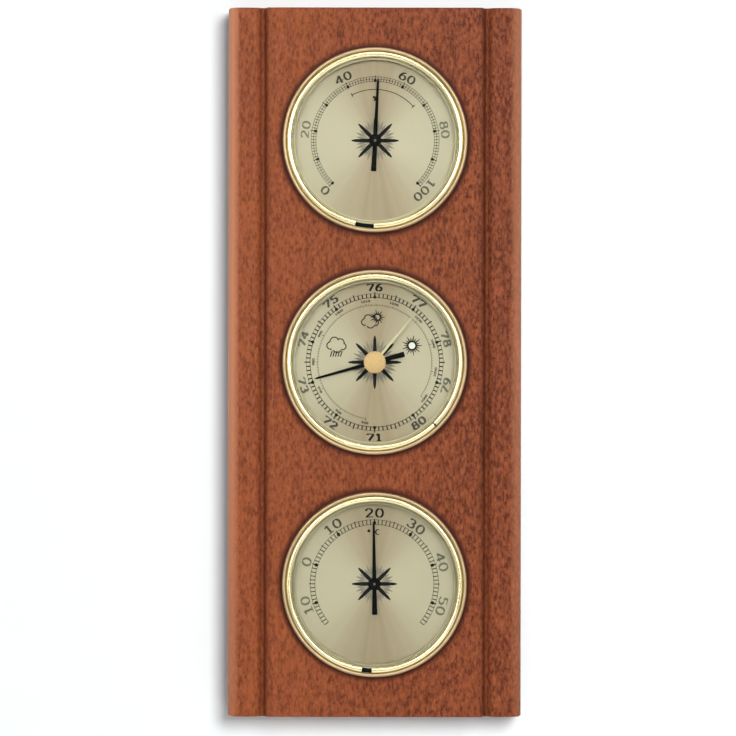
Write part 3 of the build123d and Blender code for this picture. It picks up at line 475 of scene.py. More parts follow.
def worn_colour(tree, place, axes, colour):
    """Paints shade in the grooves, a highlight on the long edges and a shadow round the rims, front only."""
    across = axes["X"]
    aside = calc(tree, "ABSOLUTE", across)
    behind = calc(tree, "SUBTRACT", axes["Y"], board_front)
    in_front = ramp(tree, behind, FRONT_DEPTH, FRONT_DEPTH + EDGE_HIGHLIGHT_FULL, 1.0, 0.0)
    from_groove = calc(tree, "SUBTRACT", aside, board_high.x - GROOVE_INSET)
    from_groove = calc(tree, "ABSOLUTE", from_groove)
    # Painted shade, darkest along each groove's floor.
    groove_shade = ramp(tree, from_groove, GROOVE_REACH, GROOVE_FLOOR, 0.0, GROOVE_SHADE_SHARE)
    colour = blend(tree, product(tree, groove_shade, in_front), colour, PAINTED_SHADE_WOOD)
    # Painted highlight along the rounded long edges.
    edge_highlight = ramp(tree, calc(tree, "SUBTRACT", board_high.x, aside), EDGE_HIGHLIGHT_REACH, EDGE_HIGHLIGHT_FULL)
    left_most = ramp(tree, across, board_low.x, board_high.x, EDGE_HIGHLIGHT_LEFT, EDGE_HIGHLIGHT_RIGHT)
    less_below = ramp(tree, axes["Z"], board_low.z, EDGE_HIGHLIGHT_FADE_TOP, EDGE_HIGHLIGHT_BOTTOM, 1.0)
    edge_highlight = product(tree, edge_highlight, in_front, left_most, less_below)
    colour = blend(tree, edge_highlight, colour, EDGE_HIGHLIGHT_WOOD)
    # Painted shadow round the foot of each rim.
    rim_shadow = ramp(tree, distance_from_rims(tree, place), RIM_SHADOW_REACH, RIM_SHADOW_FULL, 0.0, RIM_SHADOW_SHARE)
    return blend(tree, product(tree, rim_shadow, in_front), colour, PAINTED_SHADE_WOOD)


def wood_finish():
    satin = {"Specular_IOR_Level": 0.1, "Coat_Weight": 0.04, "Coat_Roughness": 0.3}
    material, tree, shader = new_finish("satin_red_wood", **satin)
    place = object_place(tree)
    axes = split(tree, place)
    flecks = stretched_noise(tree, place, (1.0, 1.0, 0.42), FLECK_SCALE, 4.0, 0.65)
    colour = worn_colour(tree, place, axes, grain_colour(tree, place, axes["X"], flecks))
    coat(tree, shader, colour, spread(tree, flecks, 0.4, 0.55))
    raise_surface(tree, shader, product(tree, flecks, -1.0), PORE_DEPTH)
    return material


dress(wood_finish(), "board")
print("board dressed in wood")

# %% [markdown]
# The rims and the split rings are spun and turned brass. Turning leaves fine lines round the piece, so the
# finish reads the piece's own UV map, whose u runs round and whose v runs along the outline, in millimetres.
# Noise that is squeezed along u becomes those lines, and they disturb the gloss a little rather than the
# colour. Past the crest the brass turns a duller olive, and painted shade darkens the ledge under the glass.

# %% Brass finishes
DULL_BRASS = (0.70, 0.63, 0.40)
DULL_RUN = 1.5
# Painted shade: the dark colour of the ledge under the glass.
LEDGE_PAINTED_SHADE = (0.27, 0.235, 0.14)
LEDGE_FROM = 3.0
LEDGE_RUN = 2.0
DEEP_SHARE = 0.86


def brass_finish(name, colour, roughness, line_depth, turned, dull_and_shade_from=None):
    """Brass; a turned piece grows dull from one length along its outline, with painted shade further in."""
    material, tree, shader = new_finish(name, Metallic=1.0)
    if turned:
        place = put(tree, "ShaderNodeTexCoord").outputs["UV"]
        lines = stretched_noise(tree, place, (14.0, 1.0, 1.0), 3.0, 4.0)
    else:
        place = object_place(tree)
        lines = stretched_noise(tree, place, EVEN_GRAIN, 900.0, 4.0)
    cloud = stretched_noise(tree, object_place(tree), EVEN_GRAIN, 70.0, 2.0)
    deep = tuple(value * DEEP_SHARE for value in colour)
    mixed = blend(tree, spread(tree, cloud), colour, deep)
    if dull_and_shade_from is not None:
        along = split(tree, place)["Y"]
        mixed = blend(tree, ramp(tree, along, dull_and_shade_from, dull_and_shade_from + DULL_RUN), mixed, DULL_BRASS)
        # Painted shade on the ledge under the glass.
        shaded_ledge = dull_and_shade_from + LEDGE_FROM
        mixed = blend(tree, ramp(tree, along, shaded_ledge, shaded_ledge + LEDGE_RUN), mixed, LEDGE_PAINTED_SHADE)
    coat(tree, shader, mixed, spread(tree, lines, roughness * 0.8, roughness * 1.25))
    raise_surface(tree, shader, lines, line_depth)
    return material


rim_brass = brass_finish("spun_brass", (0.50, 0.375, 0.215), 0.46, 0.0015 * mm, True, dull_and_shade_from=6.6)
ring_brass = brass_finish("drawn_brass", (0.99, 0.885, 0.50), 0.24, 0.001 * mm, True)
print("brass finishes ready")

# %% [markdown]
# The CAD rims are exact, but their facets would show in a polished curve. A rim is a body of revolution, so
# its outline is turned again here in many small steps. The outline repeats the CAD sizes: a flange on the
# board, an outer wall, a half-round crest and a ledge under the glass.

# %% Turn the rims
RIM_WIDTH = 1.7
RIM_HEIGHT = 3.4
LEDGE_WIDTH = 3.5
LEDGE_TOP = 1.2
SHEET = 0.6
SMOOTH_BELOW = math.radians(35)


def arc(x, y, rx, ry, start, end, steps=28):
    """Points on an arc of an ellipse; angles in degrees, anticlockwise from the right."""
    made = []
    for step in range(steps + 1):
        angle = math.radians(start + (end - start) * step / steps)
        made.append((x + rx * math.cos(angle), y + ry * math.sin(angle)))
    return made


def smooth_piece(name, shape, material):
    """Makes a finished bmesh an object, smooth except at sharp edges."""
    mesh = bpy.data.meshes.new(name)
    shape.to_mesh(mesh)
    shape.free()
    mesh.set_sharp_from_angle(angle=SMOOTH_BELOW)
    mesh.materials.append(material)
    return add_object(name, mesh)


def lathe(name, outline, middle, material, start=0.0, sweep=360.0, steps=320):
    """Turns a closed outline about a dial's axis; its points are radius and distance out, in millimetres."""
    shape = bmesh.new()
    uv = shape.loops.layers.uv.new("turning")
    closed = sweep >= 360.0
    rows = []
    for step in range(steps if closed else steps + 1):
        angle = math.radians(start + sweep * step / steps)
        row = []
        for radius, out in outline:
            across, up = radius * math.sin(angle), radius * math.cos(angle)
            place = (middle.x + across * mm, board_front - out * mm, middle.z + up * mm)
            row.append(shape.verts.new(place))
        rows.append(row)
    run = [0.0]
    for first, second in zip(outline, outline[1:] + outline[:1]):
        run.append(run[-1] + math.dist(first, second))
    count = len(outline)
    for step in range(steps):
        near, far = rows[step], rows[(step + 1) % len(rows)]
        for point in range(count):
            after = (point + 1) % count
            face = shape.faces.new((near[point], near[after], far[after], far[point]))
            face.smooth = True
            turns = (step, step, step + 1, step + 1)
            runs = (run[point], run[point + 1], run[point + 1], run[point])
            for loop, u, v in zip(face.loops, turns, runs):
                loop[uv].uv = (u / steps, v)
    if not closed:
        shape.faces.new(rows[0])
        shape.faces.new(rows[-1])
    bmesh.ops.recalc_face_normals(shape, faces=shape.faces)
    return smooth_piece(name, shape, material)


def rim_outline(radius):
    inner = radius - RIM_WIDTH
    crest = arc((radius + inner) / 2, RIM_HEIGHT, RIM_WIDTH / 2, RIM_WIDTH / 2, 0, 180, 20)
    seat = radius - SHEET
    return [
        (seat, 0.0), (radius, 0.0), *crest, (inner, LEDGE_TOP), (inner - LEDGE_WIDTH, LEDGE_TOP),
        (inner - LEDGE_WIDTH, SHEET), (seat, SHEET),
    ]


for name in INSTRUMENTS:
    low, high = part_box(name + "_bezel")
    rim_radius = (high.x - low.x) / 2 / mm
    rim = lathe(name + "_rim", rim_outline(rim_radius), middles[name], rim_brass)
    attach(rim, "station")
    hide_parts(name + "_bezel")
print("three rims of radius", round(rim_radius, 2), "mm")

# %% [markdown]
# A half-round wire, cut to spring open, holds each glass down in its rim. Its two ends leave a gap, which
# shows as a dark slot near six o'clock on two of the dials. It is turned the same way as the rim, over less
# than a full circle, so that the cut ends are real faces.

# %% Turn the split rings
RING_WIDTH = 2.6
RING_HEIGHT = 1.5
RING_PLAY = 0.1
GLASS_FRONT = 3.0
RING_GAPS = {"hygrometer": (187.0, 12.3), "barometer": (136.0, 1.2), "thermometer": (185.0, 6.7)}


def ring_outline(outer):
    half = RING_WIDTH / 2
    bow = (half**2 + RING_HEIGHT**2) / (2 * RING_HEIGHT)
    foot = math.degrees(math.atan2(bow - RING_HEIGHT, half))
    return arc(outer - half, GLASS_FRONT + RING_HEIGHT - bow, bow, bow, foot, 180 - foot, 22)


for name in INSTRUMENTS:
    middle_angle, width = RING_GAPS[name]
    outline = ring_outline(rim_radius - RIM_WIDTH - RING_PLAY)
    ring = lathe(
        name + "_split_ring", outline, middles[name], ring_brass, middle_angle + width / 2, 360 - width,
    )
    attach(ring, "station")
    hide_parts(name + "_glass_ring")
print("three split rings")

# %% [markdown]
# The dial plates are champagne-coloured metal, brushed in circles. Brushing like that gathers light into a
# bow tie, and that reflection is painted into the colour as darker, warmer wedges above and below the hub.
# One finish serves all three dials: the height is wrapped to one dial's pitch, so each dial finds its own
# middle.

# %% Dial finish
SIDE_CHAMPAGNE = (0.348, 0.309, 0.207)
# Painted reflection: the colour of the bow tie and how tightly it gathers above and below the hub.
SHEEN_WEDGE_CHAMPAGNE = (0.24, 0.186, 0.11)
SHEEN_WEDGE_POWER = 4.0
RAY_SCALE = 9.0
LINE_SCALE = 7000.0
LINE_DEPTH = 0.003 * mm


def dial_heading(tree):
    """The direction from the hub, how far that points up, and the distance from the hub."""
    axes = split(tree, object_place(tree))
    above = calc(tree, "SUBTRACT", axes["Z"], middles["barometer"].z)
    above = calc(tree, "WRAP", above, dial_pitch / 2, -dial_pitch / 2)
    from_hub = put(tree, "ShaderNodeCombineXYZ", [("X", axes["X"]), ("Y", above)]).outputs[0]
    radius = vector_node(tree, "LENGTH", from_hub)["Value"]
    heading = vector_node(tree, "NORMALIZE", from_hub)[0]
    upward = split(tree, heading)["Y"]
    return heading, upward, radius


def dial_finish():
    material, tree, shader = new_finish("brushed_champagne", Metallic=0.2, Specular_IOR_Level=0.3)
    heading, upward, radius = dial_heading(tree)
    # Painted reflection of the brushing's bow tie.
    sheen_wedge = calc(tree, "POWER", calc(tree, "ABSOLUTE", upward), SHEEN_WEDGE_POWER)
    joins = [("Vector", heading), ("Scale", RAY_SCALE), ("Detail", 5.0)]
    rays = put(tree, "ShaderNodeTexNoise", joins).outputs["Fac"]
    sheen_wedge = product(tree, sheen_wedge, spread(tree, rays, 0.8, 1.1))
    colour = blend(tree, sheen_wedge, SIDE_CHAMPAGNE, SHEEN_WEDGE_CHAMPAGNE)
    joins = [("W", radius), ("Scale", LINE_SCALE), ("Detail", 2.0)]
    lines = put(tree, "ShaderNodeTexNoise", joins, noise_dimensions="1D").outputs["Fac"]
    coat(tree, shader, colour, spread(tree, lines, 0.42, 0.55))
    raise_surface(tree, shader, lines, LINE_DEPTH)
    return material


dress(dial_finish(), *[name + "_dial" for name in INSTRUMENTS])
print("dials dressed")

# %% [markdown]
# Scales, numerals and ornaments are printed on the dials. Print is a very thin layer, so each mark is a
# flat face a fiftieth of a millimetre in front of the metal. Ink is never one flat colour close to, so a
# fine noise makes it a little uneven. On the numerals a painted sheen makes the ink paler beside the hub
# than above and below it.

# %% Ink finishes
PRINT_LIFT = 0.02 * mm
INK_SCALE = 3500.0


def ink_finish(name, dark, light, sheen_beside_hub=False):
    """Ink between two colours; the last option adds a painted sheen, pale beside the hub, dark above and
    below.
    """
    material, tree, shader = new_finish(name, Roughness=0.6, Specular_IOR_Level=0.05)
    uneven = stretched_noise(tree, object_place(tree), EVEN_GRAIN, INK_SCALE, 2.0)
    share = ramp(tree, uneven, 0.35, 0.65)
    # Painted sheen: lighter beside the hub, darker above and below it.
    if sheen_beside_hub:
        upward = calc(tree, "ABSOLUTE", dial_heading(tree)[1])
        beside = calc(tree, "SUBTRACT", 1.0, calc(tree, "POWER", upward, 2.0))
        share = product(tree, beside, ramp(tree, share, 0.0, 1.0, 0.85, 1.0))
    tree.links.new(blend(tree, share, dark, light), shader.inputs["Base Color"])
    return material


black_ink = ink_finish("black_ink", (0.004, 0.0036, 0.0034), (0.012, 0.011, 0.0095))
grey_ink = ink_finish("grey_ink", (0.14, 0.12, 0.09), (0.21, 0.18, 0.135))
# The numerals' ink carries a painted sheen beside the hub.
painted_sheen_ink = ink_finish("painted_sheen_ink", (0.007, 0.006, 0.005), (0.14, 0.128, 0.09), True)
white_ink = ink_finish("white_ink", (0.56, 0.55, 0.47), (0.64, 0.63, 0.55))
print("inks ready")

# %% [markdown]
# A scale is one short bar repeated along an arc. That is work for Geometry Nodes: points are set out by
# angle, a small grid stands on each, and the whole ring is turned to face the viewer. The sizes are named
# inputs, so the same tree draws every ring of ticks on the three dials.

# %% Geometry Nodes tree for a ring of ticks
TICK_INPUTS = {
    "Int": ("Count",),
    "Float": ("First Angle", "Angle Step", "Inner Radius", "Outer Radius", "Bar Width"),
    "Vector": ("Middle",),
    "Material": ("Ink",),
}


def tick_tree():
    tree = bpy.data.node_groups.new("ring_of_ticks", "GeometryNodeTree")
    tree.interface.new_socket("Geometry", in_out="OUTPUT", socket_type="NodeSocketGeometry")
    for kind, names in TICK_INPUTS.items():
        for name in names:
            tree.interface.new_socket(name, in_out="INPUT", socket_type="NodeSocket" + kind)
    given = tree.nodes.new("NodeGroupInput").outputs
    index = tree.nodes.new("GeometryNodeInputIndex").outputs[0]
    angle = calc(tree, "MULTIPLY_ADD", index, given["Angle Step"], given["First Angle"])
    both_radii = calc(tree, "ADD", given["Inner Radius"], given["Outer Radius"])
    half_way = product(tree, both_radii, 0.5)
    length = calc(tree, "SUBTRACT", given["Outer Radius"], given["Inner Radius"])
    right = product(tree, calc(tree, "SINE", angle), half_way)
    up = product(tree, calc(tree, "COSINE", angle), half_way)
    place = put(tree, "ShaderNodeCombineXYZ", [("X", right), ("Y", up)]).outputs[0]
    points = put(tree, "GeometryNodePoints", [("Count", given["Count"]), ("Position", place)])
    bar = put(tree, "GeometryNodeMeshGrid", [
        ("Size X", given["Bar Width"]), ("Size Y", length), ("Vertices X", 2), ("Vertices Y", 2),
    ])
    turn = put(tree, "ShaderNodeCombineXYZ", [("Z", product(tree, angle, -1.0))]).outputs[0]
    bars = put(tree, "GeometryNodeInstanceOnPoints", [
        ("Points", points.outputs[0]), ("Instance", bar.outputs["Mesh"]), ("Rotation", turn),
    ])
    facing = put(tree, "GeometryNodeTransform", [
        ("Geometry", bars.outputs[0]), ("Translation", given["Middle"]),
        ("Rotation", (QUARTER_TURN, 0.0, 0.0)),
    ])
    real = put(tree, "GeometryNodeRealizeInstances", [("Geometry", facing.outputs[0])])
    joins = [("Geometry", real.outputs[0]), ("Material", given["Ink"])]
    inked = put(tree, "GeometryNodeSetMaterial", joins)
    tree.links.new(inked.outputs[0], tree.nodes.new("NodeGroupOutput").inputs[0])
    return tree


ticks = tick_tree()
tick_sockets = {
    item.name: item.identifier for item in ticks.interface.items_tree if item.in_out == "INPUT"
}
print("tick tree with inputs", list(tick_sockets))

# %% [markdown]
# A modifier runs the tree on an empty mesh. Its inputs are set by their identifiers, the evaluated result
# is copied to a plain mesh, and the modifier goes with its carrier. Each ring becomes one piece.

# %% Draw a ring of ticks
HYGRO_STEP = 2.7
HYGRO_RADIUS = 27.3
THERMO_STEP = 3.6
THERMO_RADIUS = 27.4
BARO_STEP = 36.0
BARO_RADIUS = 29.8


def print_plane(name, lift=PRINT_LIFT):
    return middles[name] - Vector((0, lift, 0))


def on_dial(piece):
    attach(piece, "station")


def tick_ring(dial, kind, count, first, step, inner, length, width):
    """Bars outwards from an inner radius, in millimetres; first angle and step in degrees."""
    name = f"{dial}_{kind}_ticks"
    carrier = add_object(name + "_carrier", bpy.data.meshes.new(name + "_carrier"))
    modifier = carrier.modifiers.new("ticks", "NODES")
    modifier.node_group = ticks
    values = {
        "Count": count, "First Angle": math.radians(first), "Angle Step": math.radians(step),
        "Inner Radius": inner * mm, "Outer Radius": (inner + length) * mm, "Bar Width": width * mm,
        "Middle": print_plane(dial), "Ink": black_ink,
    }
    for label, value in values.items():
        modifier[tick_sockets[label]] = value
    ready = carrier.evaluated_get(bpy.context.evaluated_depsgraph_get())
    mesh = bpy.data.meshes.new_from_object(ready)
    mesh.name = name
    bpy.data.objects.remove(carrier)
    on_dial(add_object(name, mesh))


hygro_first = -50 * HYGRO_STEP
hygro_ten = 10 * HYGRO_STEP
tick_ring("hygrometer", "unit", 101, hygro_first, HYGRO_STEP, HYGRO_RADIUS, length=2.0, width=0.26)
tick_ring("hygrometer", "ten", 11, hygro_first, hygro_ten, HYGRO_RADIUS, length=2.7, width=0.34)
thermo_first = -36 * THERMO_STEP
thermo_five = 5 * THERMO_STEP
first_five = thermo_first + THERMO_STEP
tick_ring("thermometer", "unit", 73, thermo_first, THERMO_STEP, THERMO_RADIUS, length=2.2, width=0.4)
tick_ring("thermometer", "five", 15, first_five, thermo_five, THERMO_RADIUS, length=2.7, width=0.4)
baro_first = -5 * BARO_STEP
tick_ring("barometer", "tenth", 100, baro_first, BARO_STEP / 10, BARO_RADIUS, length=1.9, width=0.54)
tick_ring("barometer", "half", 20, baro_first, BARO_STEP / 2, BARO_RADIUS, length=2.6, width=0.5)
print("scale ticks drawn")

# %% [markdown]
# The other marks are strokes of a pen. A stroke follows a line or an arc of an ellipse, and its breadth
# depends on its direction: broad where it runs up and down, fine where it runs across, as a broad nib
# draws. All strokes of one dial and ink are gathered in a sheet, which becomes one flat mesh.

# %% Pen strokes


class Sheet:
    """Collects flat faces in a dial's own millimetres, right and up from its middle."""

    def __init__(self, dial):
        self.dial = dial
        self.points = []
        self.faces = []

    def face(self, corners):
        start = len(self.points)
        self.points += corners
        self.faces.append(tuple(range(start, start + len(corners))))

    def stroke(self, path, breadths):
        """A ribbon along a path; breadths is one number, or a list with one for each point."""
        if not isinstance(breadths, list):
            breadths = [breadths] * len(path)
        sides = []
        for index, (x, y) in enumerate(path):
            before, after = path[max(index - 1, 0)], path[min(index + 1, len(path) - 1)]
            run = math.dist(before, after)
            half = breadths[index] / 2 / run
            across, up = (before[1] - after[1]) * half, (after[0] - before[0]) * half
            sides.append(((x - across, y - up), (x + across, y + up)))
        for (right, left), (next_right, next_left) in zip(sides, sides[1:]):
            self.face([right, next_right, next_left, left])

    def piece(self, kind, ink, lift=PRINT_LIFT):
        plane = print_plane(self.dial, lift)
        points = [(plane.x + x * mm, plane.y, plane.z + y * mm) for x, y in self.points]
        on_dial(flat_piece(f"{self.dial}_{kind}", points, self.faces, ink))


def on_circle(radius, clock):
    """A point of a dial at a clock angle."""
    angle = math.radians(clock)
    return (radius * math.sin(angle), radius * math.cos(angle))


def circle_line(sheet, radius, first, last, breadth):
    path = arc(0, 0, radius, radius, 90 - first, 90 - last, 160)
    sheet.stroke(path, breadth)


print("pen ready")

# %% [markdown]
# The numerals are drawn in a wide face with broad stems and fine hairlines, set on the scale's curve. Each
# digit is a few lines and arcs in a box one unit high. On the barometer the digits below the middle are
# turned to stand upright.

# %% Numerals
STEM = 0.25
HAIRLINE = 0.095
STEEPNESS = 1.3
DIGIT_WIDTH = 0.62
NUMERAL_WIDTH = 1.75
DIGIT_MIDDLE = (0.3, 0.5)
DIGITS = {
    "0": [arc(0.3, 0.5, 0.21, 0.45, 0, 360)],
    "1": [[(0.31, 0.95), (0.31, 0.04)], [(0.31, 0.93), (0.13, 0.79)], [(0.13, 0.04), (0.49, 0.04)]],
    "2": [
        arc(0.28, 0.7, 0.19, 0.25, 170, -35), [(0.436, 0.557), (0.09, 0.07)], [(0.06, 0.07), (0.53, 0.07)],
    ],
    "3": [arc(0.27, 0.73, 0.18, 0.22, 160, -90), arc(0.27, 0.28, 0.21, 0.24, 90, -160)],
    "4": [[(0.4, 0.95), (0.04, 0.3)], [(0.02, 0.3), (0.57, 0.3)], [(0.4, 0.95), (0.4, 0.04)]],
    "5": [
        [(0.5, 0.92), (0.14, 0.92)], [(0.15, 0.94), (0.12, 0.53)], arc(0.28, 0.31, 0.21, 0.27, 130, -155),
    ],
    "6": [arc(0.3, 0.3, 0.2, 0.26, 0, 360), arc(0.48, 0.32, 0.37, 0.6, 92, 180)],
    "7": [[(0.05, 0.91), (0.55, 0.91)], [(0.53, 0.91), (0.2, 0.04)], [(0.07, 0.91), (0.07, 0.76)]],
    "8": [arc(0.3, 0.73, 0.16, 0.21, 0, 360), arc(0.3, 0.27, 0.2, 0.24, 0, 360)],
    "9": [arc(0.3, 0.7, 0.2, 0.26, 0, 360), arc(0.12, 0.68, 0.37, 0.6, -88, 0)],
    "%": [
        arc(0.14, 0.74, 0.11, 0.2, 0, 360), arc(0.48, 0.25, 0.11, 0.2, 0, 360), [(0.52, 0.96), (0.1, 0.03)],
    ],
    "C": [arc(0.32, 0.5, 0.24, 0.44, 48, 312)],
}


def nib_breadths(path, weight):
    """Breadth at each point of a stroke, from how steeply it runs there."""
    made = []
    for index in range(len(path)):
        before, after = path[max(index - 1, 0)], path[min(index + 1, len(path) - 1)]
        steep = abs(after[1] - before[1]) / math.dist(before, after)
        made.append(weight * (HAIRLINE + (STEM - HAIRLINE) * steep**STEEPNESS))
    return made


def turned(right, out, turn):
    """A point beside a ray, out along it and to its right, on the dial."""
    return (right * math.cos(turn) + out * math.sin(turn), out * math.cos(turn) - right * math.sin(turn))


def write_number(sheet, text, radius, clock, height, widen=NUMERAL_WIDTH, weight=1.0, upright=False):
    """Sets digits along a circle, their feet towards the middle, or away from it when upright."""
    advance = DIGIT_WIDTH * widen * height
    flip = -1 if upright else 1
    for place, digit in enumerate(text):
        shift = (place - (len(text) - 1) / 2) * advance * flip
        turn = math.radians(clock) + shift / radius
        for path in DIGITS[digit]:
            breadths = [breadth * height for breadth in nib_breadths(path, weight)]
            drawn = []
            for x, y in path:
                right = (x - DIGIT_MIDDLE[0]) * widen * height * flip
                out = radius + (y - DIGIT_MIDDLE[1]) * height * flip
                drawn.append(turned(right, out, turn))
            sheet.stroke(drawn, breadths)


print(len(DIGITS), "signs drawn")

# %% [markdown]
# Round each hub lies an eight-rayed rose, an old ornament of compasses and weather dials. The long rays are
# black bars with blunt points. A fan of short grey rays between them is printed first, so it lies a hair
# deeper, which keeps the two inks from fighting for one plane.

# %% Rose round the hub
ROSE_TIPS = {"hygrometer": 10.9, "barometer": 12.2, "thermometer": 10.4}
ROSE_POINT = 2.0
ROSE_RAYS = 8
ROSE_FAN_TIPS = (0.82, 0.9, 0.82)
FAN_LIFT = 0.5 * PRINT_LIFT


def kite(sheet, clock, inner, shoulder, tip, half):
    """A slim kite along one clock angle."""
    corners = ((0, inner), (half, shoulder), (0, tip), (-half, shoulder))
    sheet.face([turned(right, out, math.radians(clock)) for right, out in corners])


def bar_ray(sheet, clock, inner, tip, half):
    """A tapered bar along one clock angle that ends in a blunt point."""
    shoulder, near_tip, end = tip - ROSE_POINT, 0.7 * half, 0.25 * half
    right_side = [(half, inner), (near_tip, shoulder), (end, tip)]
    left_side = [(-right, out) for right, out in reversed(right_side)]
    sheet.face([turned(right, out, math.radians(clock)) for right, out in right_side + left_side])


for name in INSTRUMENTS:
    rays, fan = Sheet(name), Sheet(name)
    for ray in range(ROSE_RAYS):
        clock = 360 / ROSE_RAYS * ray
        bar_ray(rays, clock, inner=1.0, tip=ROSE_TIPS[name], half=1.0)
        for share in ROSE_FAN_TIPS:
            clock += 360 / ROSE_RAYS / (len(ROSE_FAN_TIPS) + 1)
            tip = share * ROSE_TIPS[name]
            kite(fan, clock, inner=2.6, shoulder=0.72 * tip, tip=tip, half=0.66)
    rays.piece("rose_rays", black_ink)
    fan.piece("rose_fan", grey_ink, FAN_LIFT)
print("three roses")

# %% [markdown]
# The hygrometer reads from 0 to 100 per cent. From 40 to about 68 an arc with end bars marks the comfortable
# range. A small black point stands on the scale at each ten.

# %% Hygrometer print
HYGRO_LINE_GAP = 1.1
COMFORT_RADIUS = 23.6
COMFORT_ENDS = (-27, 48)
COMFORT_BAR = 0.9
hygro, hygro_numbers = Sheet("hygrometer"), Sheet("hygrometer")
for line in range(3):
    radius = HYGRO_RADIUS + line * HYGRO_LINE_GAP
    circle_line(hygro, radius, hygro_first, -hygro_first, breadth=0.18)
for value in range(0, 101, 10):
    clock = (value - 50) * HYGRO_STEP
    kite(hygro, clock, inner=26.8, shoulder=27.6, tip=29.0, half=0.8)
    if value % 20 == 0:
        write_number(hygro_numbers, str(value), 32.5, clock, height=3.9)
write_number(hygro, "%", 19.4, 0.0, height=2.4, widen=1.3)
circle_line(hygro, COMFORT_RADIUS, *COMFORT_ENDS, breadth=0.34)
for clock in COMFORT_ENDS:
    end_bar = [on_circle(COMFORT_RADIUS + out, clock) for out in (-COMFORT_BAR, COMFORT_BAR)]
    hygro.stroke(end_bar, 0.4)
hygro.piece("print", black_ink)
hygro_numbers.piece("numerals", painted_sheen_ink)
print("hygrometer print")

# %% [markdown]
# The thermometer runs from 16 below zero to 56 degrees, with a number and a black point at each ten. Its
# ticks stand between two fine circles.

# %% Thermometer print
THERMO_BAND = 2.2
DEGREE_RADIUS = 0.7
thermo, thermo_numbers = Sheet("thermometer"), Sheet("thermometer")
for radius in (THERMO_RADIUS, THERMO_RADIUS + THERMO_BAND):
    circle_line(thermo, radius, thermo_first, -thermo_first, breadth=0.2)
for ten in range(-10, 51, 10):
    clock = (ten - 20) * THERMO_STEP
    kite(thermo, clock, inner=27.0, shoulder=28.1, tip=29.7, half=0.9)
    write_number(thermo_numbers, str(abs(ten)), 32.8, clock, height=4.3, weight=0.95)
degree_x, degree_y = on_circle(24.6, -6.0)
thermo.face(arc(degree_x, degree_y, DEGREE_RADIUS, DEGREE_RADIUS, 0, 330, steps=11))
write_number(thermo, "C", 24.0, 3.5, height=2.6, widen=1.5)
thermo.piece("print", black_ink)
thermo_numbers.piece("numerals", painted_sheen_ink)
print("thermometer print")

# %% [markdown]
# The barometer has two scales of air pressure. The outer one counts centimetres of mercury from 71 to 80.
# The fine inner one counts millibars, 27 degrees for every ten, with tiny numbers beside it.

# %% Barometer scales
MILLIBAR_TEN = 27.0
MILLIBAR_TOP = 1013.25
MILLIBAR_RADIUS = 26.2
baro, baro_numbers = Sheet("barometer"), Sheet("barometer")
circle_line(baro, BARO_RADIUS, -180, 180, breadth=0.28)
circle_line(baro, 31.6, -180, 180, breadth=0.16)
circle_line(baro, MILLIBAR_RADIUS, -171, 126, breadth=0.14)
for value in range(71, 81):
    clock = (value - 76) * BARO_STEP
    below = abs(clock) > 90
    kite(baro, clock, inner=29.2, shoulder=29.9, tip=31.6, half=0.9)
    write_number(baro_numbers, str(value), 34.6, clock, height=3.5, weight=1.3, upright=below)
for value in range(950, 1061, 10):
    clock = (value - MILLIBAR_TOP) / 10 * MILLIBAR_TEN
    below = abs(clock) > 90
    write_number(baro, str(value), 28.3, clock, height=1.05, widen=1.7, weight=1.4, upright=below)
baro.piece("print", black_ink)
baro_numbers.piece("numerals", painted_sheen_ink)
lowest = (950 - MILLIBAR_TOP) / 10 * MILLIBAR_TEN
millibar = MILLIBAR_TEN / 10
tick_ring("barometer", "millibar", 111, lowest, millibar, MILLIBAR_RADIUS, length=0.7, width=0.2)
tick_ring("barometer", "ten_millibar", 12, lowest, MILLIBAR_TEN, MILLIBAR_RADIUS, length=1.0, width=0.3)
print("barometer scales")

# %% [markdown]
# Three common weather signs stand inside the barometer's scales: a raining cloud, a sun behind a cloud and
# a sun. They are drawn with the same pen, from arcs and short lines, and the sun's disc is white.

# %% Weather signs
SIGN_LINE = 0.5
SUN_RADIUS = 1.75
DROP_STEP = 1.15
DROP_FALL = (-0.8, -2.7)


def cloud(sheet, x, y, size):
    """An outline of five bumps round a cloud."""
    bumps = (
        (-1.0, -0.1, 0.62, 100, 290), (-0.35, 0.55, 0.75, 20, 185), (0.6, 0.35, 0.68, -20, 130),
        (1.05, -0.25, 0.55, -120, 70), (0.1, -0.5, 0.75, -150, -30),
    )
    for across, up, radius, start, end in bumps:
        path = arc(x + across * size, y + up * size, radius * size, radius * size, start, end, 12)
        sheet.stroke(path, SIGN_LINE)


def sun(sheet, x, y, ring, reach, rays):
    """A ring with long and short rays by turns, each tapering outwards."""
    path = arc(x, y, ring, ring, 0, 360, 24)
    sheet.stroke(path, SIGN_LINE * 0.9)
    for ray in range(rays):
        angle = 2 * math.pi * ray / rays
        tip = reach if ray % 2 == 0 else reach * 0.78
        line = [(x + span * math.cos(angle), y + span * math.sin(angle)) for span in (ring, tip)]
        sheet.stroke(line, [SIGN_LINE * 1.6, SIGN_LINE * 0.3])


